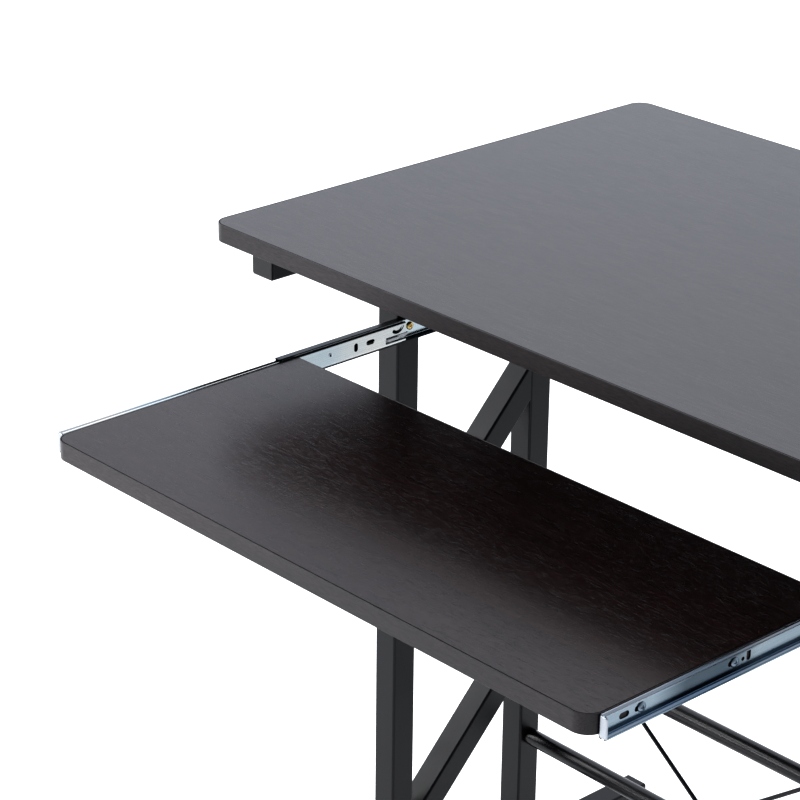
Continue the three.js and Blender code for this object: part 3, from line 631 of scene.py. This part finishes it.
def weld_bead(x0, x1, y, z):
    """A rippled weld bead along X, tapered at both ends."""
    steps = WELD_RIPPLES * 4
    rings = []
    for i in range(steps + 1):
        share = i / steps
        swell = 0.86 + 0.14 * math.cos(2 * math.pi * WELD_RIPPLES * share)
        taper = min(1, math.sqrt(max(1e-3, min(share, 1 - share) * 12)))
        radius = WELD_RADIUS * swell * taper
        circle = arc(y, z, radius, 0, 2 * math.pi * 11 / 12, 11)
        rings.append([(x0 + (x1 - x0) * share, cy, cz) for cy, cz in circle])
    return loft(rings)


def brace_line(side, front_z, rear_z):
    """Ends of a brace's centre line, on the posts' facing sides."""
    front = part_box(f"{side}_front_post")[1].y
    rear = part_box(f"{side}_rear_post")[0].y
    x = centre(f"{side}_front_post").x
    return Vector((x, front, front_z)), Vector((x, rear, rear_z))


def brace_rise(node, run):
    """How far a brace climbs between the posts: its height less its own slanted thickness."""
    low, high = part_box(node)
    height = high.z - low.z
    rise = height - TUBE
    for _ in range(20):  # each pass comes closer
        rise = height - TUBE * math.hypot(run, rise) / run
    return rise


def frame_tube(node, tube):
    piece(f"{node}_tube", tube, PAINT, "desk", [node])


def rails(side):
    for rail in ("top_rail", "foot_rail"):
        node = f"{side}_{rail}"
        low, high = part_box(node)
        x = centre(f"{side}_front_post").x
        z = high.z - TUBE / 2
        frame_tube(node, square_tube((x, low.y, z), (x, high.y, z)))


def posts(side):
    """The two posts. Returns their weld beads."""
    welds = []
    for place in ("front_post", "rear_post"):
        node = f"{side}_{place}"
        low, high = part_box(node)
        x, y, _ = centre(node)
        frame_tube(node, square_tube((x, y, low.z), (x, y, high.z)))
        for edge in (low.y, high.y):
            welds += [weld_bead(low.x + MM, high.x - MM, edge, z) for z in (low.z, high.z)]
    return welds


def braces(side):
    """The zigzag between the posts. Returns its weld beads."""
    welds = []
    front, rear = brace_line(side, 0, 0)
    heights = {}
    for name in ("upper_brace", "lower_brace"):
        low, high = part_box(f"{side}_{name}")
        rise = brace_rise(f"{side}_{name}", rear.y - front.y)
        front_z = (low.z + high.z - rise) / 2
        heights[name] = (front_z, front_z + rise)
    ends = {
        "upper_brace": heights["upper_brace"],
        "middle_brace": (heights["upper_brace"][0], heights["lower_brace"][1]),
        "lower_brace": heights["lower_brace"],
    }
    for name, (front_z, rear_z) in ends.items():
        start, end = brace_line(side, front_z, rear_z)
        direction = (end - start).normalized()
        half = TUBE / 2 / direction.y
        if name == "middle_brace":
            inset = direction * MIDDLE_BRACE_INSET
            tube = square_tube(start + inset, end - inset)
        else:
            tube = square_tube(start, end, cut=(0, 1, 0))
            x0, x1 = start.x - TUBE / 2 + MM, start.x + TUBE / 2 - MM
            for point in (start, end):
                welds += [weld_bead(x0, x1, point.y, point.z + dz) for dz in (-half, half)]
        frame_tube(f"{side}_{name}", tube)
    return welds


def side_frame(side):
    rails(side)
    welds = posts(side) + braces(side)
    piece(f"{side}_frame_welds", joined(*welds), PAINT, "desk", sharp=60)


def end_cap(node, outward):
    """A tube's plastic end cap. outward is -1 where its plate faces the front, 1 at the back."""
    low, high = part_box(node)
    middle = centre(node)
    face = low.y if outward < 0 else high.y
    profile = in_mm(CAP_PROFILE)
    profile += [(0, CAP_PLATE), (1.5 * MM, CAP_PLATE), (CAP_PLUG_INSET, high.y - low.y)]
    rings = []
    for inset, depth in profile:
        half = TUBE / 2 - inset
        radius = max(TUBE_RADIUS - inset * 0.5, 0.8 * MM)
        outline = rounded_rectangle(-half, half, -half, half, [radius] * 4, steps=8)
        rings.append([(middle.x + a, face - outward * depth, middle.z + b) for a, b in outline])
    piece(f"{node}_moulding", loft(rings), PLASTIC, "desk", [node], sharp=40)


def levelling_foot(side, place):
    """A levelling foot with a fluted edge, and its stem."""
    node = f"{side}_{place}_foot"
    low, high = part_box(node)
    middle = centre(node)
    radius = (high.x - low.x) / 2
    pad_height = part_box(f"{side}_foot_rail")[0].z
    steps = FOOT_FLUTES * 6
    around = [2 * math.pi * i / steps for i in range(steps)]
    rings = []
    for inset, z, fluting in (*FOOT_PROFILE, (3.2, pad_height / MM - 0.1, 0)):
        ring = []
        for angle in around:
            groove = FOOT_FLUTE_DEPTH * fluting * (0.5 + 0.5 * math.cos(FOOT_FLUTES * angle)) ** 3
            r = radius - inset * MM - groove
            ring.append((middle.x + r * math.cos(angle), middle.y + r * math.sin(angle), low.z + z * MM))
        rings.append(ring)
    stem_foot = pad_height - 0.2 * MM
    stem = lathe([(0, stem_foot), (FOOT_STEM_RADIUS, stem_foot), (FOOT_STEM_RADIUS, high.z - MM),
                  (FOOT_STEM_RADIUS - MM, high.z), (0, high.z)])
    bmesh.ops.translate(stem, vec=(middle.x, middle.y, 0), verts=stem.verts)
    piece(f"{node}_pad", loft(rings), PLASTIC, node, [node], sharp=50)
    piece(f"{node}_stem", stem, SCREW_ZINC, node)


for side_name in SIDES:
    side_frame(side_name)
    for rail_name in ("top_rail", "foot_rail"):
        end_cap(f"{side_name}_{rail_name}_front_cap", -1)
        end_cap(f"{side_name}_{rail_name}_rear_cap", 1)
    for place_name in ("front", "rear"):
        levelling_foot(side_name, place_name)


# -------------------------------- screws and bolts
def cross_outline(arm, half):
    """A cross with blunt arms."""
    quarter = [(arm, -half), (arm, half), (half, half)]
    points = []
    for cosine, sine in ((1, 0), (0, 1), (-1, 0), (0, -1)):
        points += [(x * cosine - y * sine, x * sine + y * cosine) for x, y in quarter]
    return points


def screw(node, direction, body, material, size, recess="cross"):
    """A domed screw or bolt. direction points from its head along its shank."""
    head_height, shank_radius = size
    low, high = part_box(node)
    direction = Vector(direction)
    length = abs((high - low).dot(direction))
    radius = max(high[i] - low[i] for i in range(3) if abs(direction[i]) < 0.5) / 2
    ease = 0.15 * MM
    profile = [(0, -length), (shank_radius * 0.4, -length), (shank_radius, shank_radius - length),
               (shank_radius, -head_height), (radius - ease, -head_height), (radius, -head_height + ease)]
    rim = -head_height * DOME_SHARE
    profile += [(radius * math.cos(a), rim - rim * math.sin(a))
                for a in (math.pi / 2 * i / 8 for i in range(1, 8))]
    profile.append((0, 0))
    head = lathe(profile, segments=40)
    depth = head_height * RECESS_SHARE
    if recess == "hex":
        cutter = prism(arc(0, 0, radius * HEX_SHARE, 0, math.pi * 5 / 3, 5), -depth, MM)
    else:
        cross = cross_outline(*(radius * share for share in CROSS_SHARES))
        cutter = loft([[(x * k, y * k, z) for x, y in cross] for k, z in ((0.45, -depth), (1.25, MM))])
    whole = subtract(head, cutter)
    top = (low + high) / 2 - direction * length / 2
    turn = Vector((0, 0, -1)).rotation_difference(direction).to_matrix().to_4x4()
    bmesh.ops.transform(whole, matrix=Matrix.Translation(top) @ turn, verts=whole.verts)
    piece(f"{node}_turned", whole, material, body, [node], sharp=32)


for side_name, outer in SIDES.items():
    inward = (-outer, 0, 0)
    for place_name in ("front", "rear"):
        name = f"{side_name}_{place_name}"
        screw(f"{name}_desktop_screw", (0, 0, 1), "desk", BLACK_OXIDE, DESKTOP_SCREW)
        screw(f"{name}_slide_screw", (outer, 0, 0), "desk", BRASS, SLIDE_SCREW)
        screw(f"{name}_tray_screw", inward, "tray", TRAY_SCREW_SHADE_ZINC, TRAY_SCREW)
    for place_name in ("upper", "lower"):
        screw(f"{side_name}_{place_name}_stretcher_bolt", inward, "desk", BLACK_OXIDE,
              STRETCHER_BOLT, recess="hex")
for bolt_node, direction_y in (("left_rod_a_top_bolt", 1), ("right_rod_a_foot_bolt", 1),
                               ("right_rod_b_top_bolt", -1), ("left_rod_b_foot_bolt", -1)):
    screw(bolt_node, (0, direction_y, 0), "desk", BLACK_OXIDE, ROD_BOLT, recess="hex")


# -------------------------------- stretchers, rods and their tabs
def stretcher(node):
    low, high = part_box(node)
    middle = centre(node)
    radius = (high.z - low.z) / 2
    half = (high.x - low.x) / 2
    ease = 0.5 * MM
    bore = radius - TUBE_WALL
    tube = lathe([(bore, -half), (radius - ease, -half), (radius, ease - half),
                  (radius, half - ease), (radius - ease, half), (bore, half)], segments=64)
    turn = Matrix.Rotation(math.pi / 2, 4, "Y")
    bmesh.ops.transform(tube, matrix=Matrix.Translation(middle) @ turn, verts=tube.verts)
    piece(f"{node}_tube", tube, STRETCHER_PAINT, "desk", [node])


def brace_rod(node, high_side, eye_side):
    """A round rod whose ends are flattened into eyes. eye_side is the sign of Y the eyes lie on."""
    low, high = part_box(node)
    middle = centre(node)
    start = Vector((high_side * (high.x - ROD_EYE), middle.y, high.z - ROD_EYE))
    end = Vector((-high_side * (high.x - ROD_EYE), middle.y, low.z + ROD_EYE))
    span = (end - start).length
    direction = (end - start) / span
    side_way = direction.cross(Vector((0, 1, 0)))
    stations = [(-ROD_EYE * math.cos(math.pi * i / 14), 0) for i in range(1, 8)]
    stations += [(ROD_EYE + ROD_FLARE * i / 8, i / 8) for i in range(9)]

    def ring(s, flare):
        """Section s from the eye's centre. flare is 0 at the eye and 1 on the round rod."""
        smooth = flare * flare * (3 - 2 * flare)
        eye_width = math.sqrt(max(ROD_EYE ** 2 - min(s, 0) ** 2, (0.4 * MM) ** 2))
        width = eye_width + (ROD_RADIUS - eye_width) * smooth
        thick = ROD_EYE_HALF + (ROD_RADIUS - ROD_EYE_HALF) * smooth
        shift = eye_side * (ROD_RADIUS - ROD_EYE_HALF) * (1 - smooth)
        power = 0.35 + 0.65 * smooth  # 1 is round and less is squarer
        points = []
        for cosine, sine in arc(0, 0, 1, 0, 2 * math.pi * 23 / 24, 23):
            a = math.copysign(abs(cosine) ** power, cosine) * width
            b = math.copysign(abs(sine) ** power, sine) * thick
            points.append(side_way * a + Vector((0, b + shift, 0)))
        return points

    rings = [[start + direction * s + offset for offset in ring(s, flare)] for s, flare in stations]
    rings += [[end - direction * s + offset for offset in ring(s, flare)]
              for s, flare in reversed(stations)]
    piece(f"{node}_forged", loft(rings), PAINT, "desk", [node], sharp=50)


def rod_tab(name, side, x_bolt, y, z):
    """A flat tab from the frame's inner face out to round the rod bolt."""
    face = inner_face(side)
    nose = arc(abs(face - x_bolt), 0, ROD_EYE, -math.pi / 2, math.pi / 2, 16)
    outline = [(-TAB_ROOT, -ROD_EYE), *nose, (-TAB_ROOT, ROD_EYE)]
    rings = [[(face - SIDES[side] * u, y + dy, z + v) for u, v in outline] for dy in (-TAB_HALF, TAB_HALF)]
    piece(name, loft(rings), PAINT, "desk", bevel=0.25 * MM)


for place_name in ("upper", "lower"):
    stretcher(f"{place_name}_stretcher")
brace_rod("brace_rod_a", -1, 1)
brace_rod("brace_rod_b", 1, -1)
tab_y = (centre("brace_rod_a").y + centre("brace_rod_b").y) / 2
for side_name, rods in (("left", {"top": "a", "foot": "b"}), ("right", {"top": "b", "foot": "a"})):
    for level_name, rod_name in rods.items():
        bolt_at = centre(f"{side_name}_rod_{rod_name}_{level_name}_bolt")
        rod_tab(f"{side_name}_{level_name}_rod_tab", side_name, bolt_at.x, tab_y, bolt_at.z)


# -------------------------------- slides
# Inside these functions u is the distance from the post's face towards the tray.
def sheet_section(points, thickness):
    """The two sides of bent sheet whose middle line runs through the points."""
    sides = ([], [])
    for i, point in enumerate(points):
        before = points[max(i - 1, 0)]
        after = points[min(i + 1, len(points) - 1)]
        way = ((point - before).normalized() + (after - point).normalized()).normalized()
        turn = way.dot((after - point).normalized()) if 0 < i < len(points) - 1 else 1
        normal = Vector((-way.y, way.x)) * (thickness / 2 / turn)
        sides[0].append(point + normal)
        sides[1].append(point - normal)
    return sides


def channel_line(web, tip, flange_z, bend, dip, race):
    """Middle line of a C-section, from the upper flange's tip round to the lower one's. Its
    flanges dip into a ball track of that depth round race."""
    way = 1 if tip > web else -1
    steps = 20 if dip else 1
    upper = []
    for i in range(steps + 1):
        u = tip + (web + way * bend - tip) * i / steps
        reach = min(abs(u - race) / RACE_HALF, 1)
        upper.append(Vector((u, flange_z - dip * (1 + math.cos(math.pi * reach)) / 2)))
    for i in range(1, 7):
        angle = math.pi / 2 * i / 6
        u = web + way * bend * (1 - math.sin(angle))
        upper.append(Vector((u, flange_z - bend * (1 - math.cos(angle)))))
    return upper + [Vector((point.x, -point.y)) for point in reversed(upper)]


def sheet_channel(line, to_frame, y0, y1, z):
    """Bent sheet along Y. to_frame turns (u, y, z) into a point of the frame."""
    first, second = sheet_section(line, SHEET)
    outline = first + second[::-1]
    bm = bmesh.new()
    rows = [[bm.verts.new(to_frame(p.x, y, z + p.y)) for p in outline] for y in (y0, y1)]
    count = len(outline)
    for i in range(count):
        j = (i + 1) % count
        bm.faces.new((rows[0][i], rows[0][j], rows[1][j], rows[1][i]))
    for row in rows:
        for i in range(len(first) - 1):
            bm.faces.new((row[i], row[i + 1], row[count - 2 - i], row[count - 1 - i]))
    return bm


def across_slide(to_frame, outline, u0, u1):
    """An outline in Y and Z, drawn from one distance off the post's face to another."""
    return loft([[to_frame(u, y, z) for y, z in outline] for u in (u0, u1)])


def level_sheet(to_frame, outline, z0, z1):
    """An outline in Y and u, drawn from one height to another."""
    return loft([[to_frame(u, y, z) for y, u in outline] for z in (z0, z1)])


def slot_cutters(to_frame, y, z, slots):
    """Cutters with round ends, through a web whose front end is at y and middle at z."""
    cutters = []
    for slot in slots:
        step, rise, length, height = (value * MM for value in slot)
        y0, z0 = y + step - length / 2, z + rise - height / 2
        radius = min(length, height) / 2 * 0.999
        outline = rounded_rectangle(y0, y0 + length, z0, z0 + height, [radius] * 4, steps=8)
        cutters.append(across_slide(to_frame, outline, -2 * MM, 12 * MM))
    return cutters


def curved_outline(y, z):
    """A slot with round ends along an arc round (y, z), above the release lever."""
    inner, outer = (radius * MM for radius in CURVED_SLOT_RADII)
    start, stop = CURVED_SLOT_ANGLES

    def round_end(angle, first):
        reach = (inner + outer) / 2
        return arc(y + reach * math.cos(angle), z + reach * math.sin(angle), (outer - inner) / 2,
                   first, first + math.pi, 8)[1:-1]

    return (arc(y, z, outer, start, stop, 12) + round_end(stop, stop)
            + arc(y, z, inner, stop, start, 12) + round_end(start, start + math.pi))


def fixed_channel(side, to_frame):
    node = f"{side}_fixed_channel"
    low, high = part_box(node)
    z = (low.z + high.z) / 2
    line = channel_line(SHEET / 2, CHANNEL_FLANGE, (high.z - low.z - SHEET) / 2, CHANNEL_BEND, 0, 0)
    channel = sheet_channel(line, to_frame, low.y, high.y, z)
    cutters = slot_cutters(to_frame, low.y, z, CHANNEL_SLOTS)
    rolled = piece(f"{node}_rolled", subtract(channel, *cutters), ZINC, "desk", [node],
                   sharp=30, bevel=SHEET_EASE)
    flange = (high.z - low.z) / 2 - 1.2 * MM
    # The web facing the tray is painted black as shade where the runner covers it.
    second_finish(rolled, CHANNEL_ZINC, lambda face: face.normal.x * SIDES[side] < -0.9)
    # Painted shade: the channel's flanges are near-black.
    second_finish(rolled, NEAR_BLACK_SHADE_ZINC, lambda face: abs(face.center.z - z) > flange)


def reaches(side, node):
    """The node's least and greatest distance from the post's face."""
    return sorted(abs(corner.x - inner_face(side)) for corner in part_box(node))


def drawer_runner(side, to_frame):
    node = f"{side}_drawer_runner"
    low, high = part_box(node)
    z = (low.z + high.z) / 2
    web_outside = reaches(side, node)[1]
    tip = web_outside - RUNNER_DEPTH
    line = channel_line(web_outside - SHEET / 2, tip, (RUNNER_HEIGHT - SHEET) / 2, RUNNER_BEND,
                        RACE_DEPTH, web_outside - RACE_FROM_WEB)
    channel = sheet_channel(line, to_frame, low.y + SHEET / 2, high.y, z)
    cutters = slot_cutters(to_frame, low.y, z, RUNNER_SLOTS)
    (step, rise), (foot, top) = in_mm([CURVED_SLOT, LEVER_WINDOW_HEIGHTS])
    window = rounded_rectangle(low.y + LEVER_WINDOW * MM, high.y + 4 * MM, z + foot, z + top,
                               [0.8 * MM] * 4)
    for outline in (curved_outline(low.y + step, z + rise), window):
        cutters.append(across_slide(to_frame, outline, web_outside - 2 * SHEET, web_outside + SHEET))
    # The right runner takes the zinc with dark bands of painted reflection.
    web_finish = ZINC if SIDES[side] < 0 else REFLECTION_BANDED_ZINC
    rolled = piece(f"{node}_rolled", subtract(channel, *cutters), web_finish, "tray",
                   [node], sharp=30, bevel=SHEET_EASE)
    # Painted shade: the right runner's upward faces are darker.
    if SIDES[side] > 0:
        second_finish(rolled, RUNNER_TOP_SHADE_ZINC, lambda face: face.normal.z > 0.4)
    # Painted shade: the faces inside the runner's channel are darker.
    second_finish(rolled, RUNNER_INNER_SHADE_ZINC, lambda face: face.normal.z * (z - face.center.z) > RUNNER_HEIGHT / 4)
    # Painted shade: the runner's front ends are near-black.
    second_finish(rolled, NEAR_BLACK_SHADE_ZINC, lambda face: face.normal.y < -0.9)

    front_tab(side, to_frame, tip - 1.2 * MM, web_outside, low.y, z)
    step, rise = RIVET_HOLE
    at = Vector(to_frame(web_outside, low.y + step * MM, z + rise * MM))
    rivet = faced(lathe(in_mm(RIVET_PROFILE), segments=32), at, (-SIDES[side], 0, 0))
    riveted = piece(f"{side}_runner_rivet", rivet, SCREW_ZINC, "tray")
    # Painted shade: the rivet's centre is near-black.
    second_finish(riveted, NEAR_BLACK_SHADE_ZINC, lambda face: (face.center - at).length < RIVET_EYE * MM)


def front_tab(side, to_frame, u0, u1, y, z):
    """The bent tab that closes a runner's front end, with eased edges."""
    half = RUNNER_HEIGHT / 2 - 0.8 * MM
    outline = rounded_rectangle(u0, u1 - 0.5 * MM, -half, half, [1.5 * MM] * 4, steps=8)
    middle = (u0 + u1) / 2
    rings = []
    for inset, depth in in_mm(FRONT_TAB_PROFILE):
        scale_u = 1 - inset / (RUNNER_DEPTH / 2)
        scale_z = 1 - inset / half
        rings.append([to_frame(middle + (u - middle) * scale_u, y + depth, z + v * scale_z)
                      for u, v in outline])
    piece(f"{side}_runner_front_tab", loft(rings), FRONT_TAB_SHADE_ZINC, "tray", sharp=50)


def release_lever(side, to_frame):
    """A flat arm with a thumb pad that stands in the runner's window."""
    node = f"{side}_release_lever"
    body, slot = f"{side}_lever", "lever_grey"
    z = centre(node).z
    pivot_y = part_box(node)[0].y + LEVER_PIVOT_BACK
    near, far = reaches(side, node)
    outline = arc(pivot_y, z, LEVER_PIVOT_BACK, math.pi / 2, 1.5 * math.pi, 10)
    outline += [(pivot_y + step, z + rise) for step, rise in in_mm(LEVER_HOOK)]
    arm = across_slide(to_frame, outline, near, near + LEVER_THICKNESS)
    pad_start, pad_end = (pivot_y + step * MM for step in LEVER_PAD)
    half = LEVER_PAD_HALF * MM
    pad_outline = rounded_rectangle(pad_start, pad_end, z - half, z + half, [0.6 * MM] * 4)
    pad = across_slide(to_frame, pad_outline, near + 1.5 * MM, far)
    piece(f"{node}_arm", arm, LEVER, body, [node], bevel=0.2 * MM)
    piece(f"{node}_pad", pad, LEVER, body, bevel=0.3 * MM)
    at = to_frame(near + LEVER_THICKNESS, pivot_y, z)
    pin = faced(lathe(in_mm(PIN_PROFILE), segments=24), Vector(at), (-SIDES[side], 0, 0))
    piece(f"{node}_pin", pin, SCREW_ZINC, body)


def ball_cage(side, to_frame):
    """Two pressed strips that carry balls above and below, and the bridge between them."""
    node = f"{side}_ball_cage"
    low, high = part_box(node)
    z = (low.z + high.z) / 2
    web, tip = reaches(side, node)
    strip_z = (high.z - low.z) / 2 - 0.3 * MM
    outline = rounded_rectangle(low.y, high.y, web, tip, [0.8 * MM] * 4)
    count = int((high.y - low.y - BALL_PITCH) / BALL_PITCH)
    first = (low.y + high.y) / 2 - (count - 1) * BALL_PITCH / 2
    strips, balls = [], []
    for level in (-1, 1):
        height = z + level * strip_z
        strip = level_sheet(to_frame, outline, height - CAGE_SHEET / 2, height + CAGE_SHEET / 2)
        holes = []
        for i in range(count):
            y = first + i * BALL_PITCH
            circle = arc(y, BALL_TRACK, BALL_RADIUS + 0.12 * MM, 0, 2 * math.pi * 15 / 16, 15)
            holes.append(level_sheet(to_frame, circle, height - MM, height + MM))
            ball = bmesh.new()
            bmesh.ops.create_uvsphere(ball, u_segments=16, v_segments=10, radius=BALL_RADIUS)
            at = to_frame(BALL_TRACK, y, z + level * BALL_HEIGHT)
            bmesh.ops.translate(ball, vec=at, verts=ball.verts)
            balls.append(ball)
        strips.append(subtract(strip, *holes))
    bridge = rounded_rectangle(low.y, low.y + 10 * MM, web, web + CAGE_SHEET, [0.1 * MM] * 4, steps=2)
    strips.append(level_sheet(to_frame, bridge, z - strip_z, z + strip_z))
    piece(f"{node}_strips", joined(*strips), CAGE_STEEL, f"{side}_cage", [node])
    piece(f"{node}_balls", joined(*balls), BALL_STEEL, f"{side}_cage", sharp=60)


def slide(side):
    face = inner_face(side)

    def to_frame(u, y, z):
        return (face - SIDES[side] * u, y, z)

    fixed_channel(side, to_frame)
    drawer_runner(side, to_frame)
    release_lever(side, to_frame)
    ball_cage(side, to_frame)


for side_name in SIDES:
    slide(side_name)


# -------------------------------- floor, light and camera
def floor():
    """A pale floor that glows a little, so that it looks white, and is dimmer on one side."""
    bm = bmesh.new()
    bmesh.ops.create_grid(bm, x_segments=4, y_segments=4, size=14)
    mesh = bpy.data.meshes.new("floor")
    bm.to_mesh(mesh)
    bm.free()
    finish = Finish("pale_floor", Roughness=0.9, Specular_IOR_Level=0.1)
    cloud = finish.noise((0.8, 0.8, 0.8), detail=2)
    tone = finish.colours(cloud, (0.3, (0.86, 0.86, 0.87)), (0.7, (0.9, 0.9, 0.9)))
    distance = reach_along(finish.tree, finish.place, FLOOR_DIM_SIDE)
    shaded = finish.mixed(finish.level(distance, 1, 0, *FLOOR_FADE), FLOOR_DIM, tone)
    finish.colour_from(shaded)
    finish.tree.links.new(shaded, finish.shader.inputs["Emission Color"])
    finish.shader.inputs["Emission Strength"].default_value = FLOOR_GLOW
    mesh.materials.append(finish.material)
    linked("floor", mesh)


def soft_box(name, place, target, width, height, radiance):
    """An area light of that radiance, which shows in reflections and isn't seen itself."""
    light = bpy.data.lights.new(name, "AREA")
    light.shape = "RECTANGLE"
    light.size, light.size_y = width, height
    light.energy = radiance * math.pi * width * height
    box = linked(name, light)
    box.location = place
    box.rotation_euler = (Vector(target) - Vector(place)).to_track_quat("-Z", "Y").to_euler()
    box.visible_camera = False


def surround():
    """A white studio surround, brighter at the back left and dimmer at the right and high up."""
    world = bpy.data.worlds.new("studio")
    bpy.context.scene.world = world
    world.use_nodes = True
    tree = world.node_tree
    background = tree.nodes["Background"]
    way = tree.nodes.new("ShaderNodeTexCoord").outputs["Generated"]
    facing = reach_along(tree, way, Vector(BRIGHT_SIDE).normalized())
    radiance = ranged(tree, facing, -0.4, 1, DIM_RADIANCE, BRIGHT_RADIANCE)
    share = ranged(tree, coordinate(tree, way, "Z"), *DIM_ABOVE, 1, DIM_ABOVE_SHARE)
    strength = tree.nodes.new("ShaderNodeMath")
    strength.operation = "MULTIPLY"
    tree.links.new(radiance, strength.inputs[0])
    tree.links.new(share, strength.inputs[1])
    tree.links.new(strength.outputs["Value"], background.inputs["Strength"])
    background.inputs["Color"].default_value = (0.92, 0.965, 1.06, 1)


floor()
surround()
soft_box("front_left_box", (-2.2, -1.4, 1.9), (0, 0, 0.45), 1.3, 1.3, 5.2)
soft_box("low_left_strip", (-1.25, -2.0, 0.95), (0.1, 0.1, 0.25), 1.2, 0.34, 8)
soft_box("top_box", (-1.4, 0.9, 2.9), (0, 0, 0.5), 2.2, 2.2, 0.8)

camera_data = bpy.data.cameras.new("camera")
camera_data.sensor_width = 36
camera_data.lens = CAMERA_LENS
camera_data.clip_end = 60
camera = linked("camera", camera_data)
azimuth, elevation = math.radians(CAMERA_AZIMUTH), math.radians(CAMERA_ELEVATION)
level = math.cos(elevation)
back = Vector((math.sin(azimuth) * level, -math.cos(azimuth) * level, math.sin(elevation)))
camera.location = CAMERA_PLACE
camera.rotation_mode = "QUATERNION"
upright = (-back).to_track_quat("-Z", "Y")
camera.rotation_quaternion = upright @ Quaternion((0, 0, 1), math.radians(CAMERA_ROLL))
bpy.context.scene.camera = camera
bpy.context.scene.view_settings.view_transform = "Standard"
bpy.context.scene.view_settings.look = "High Contrast"
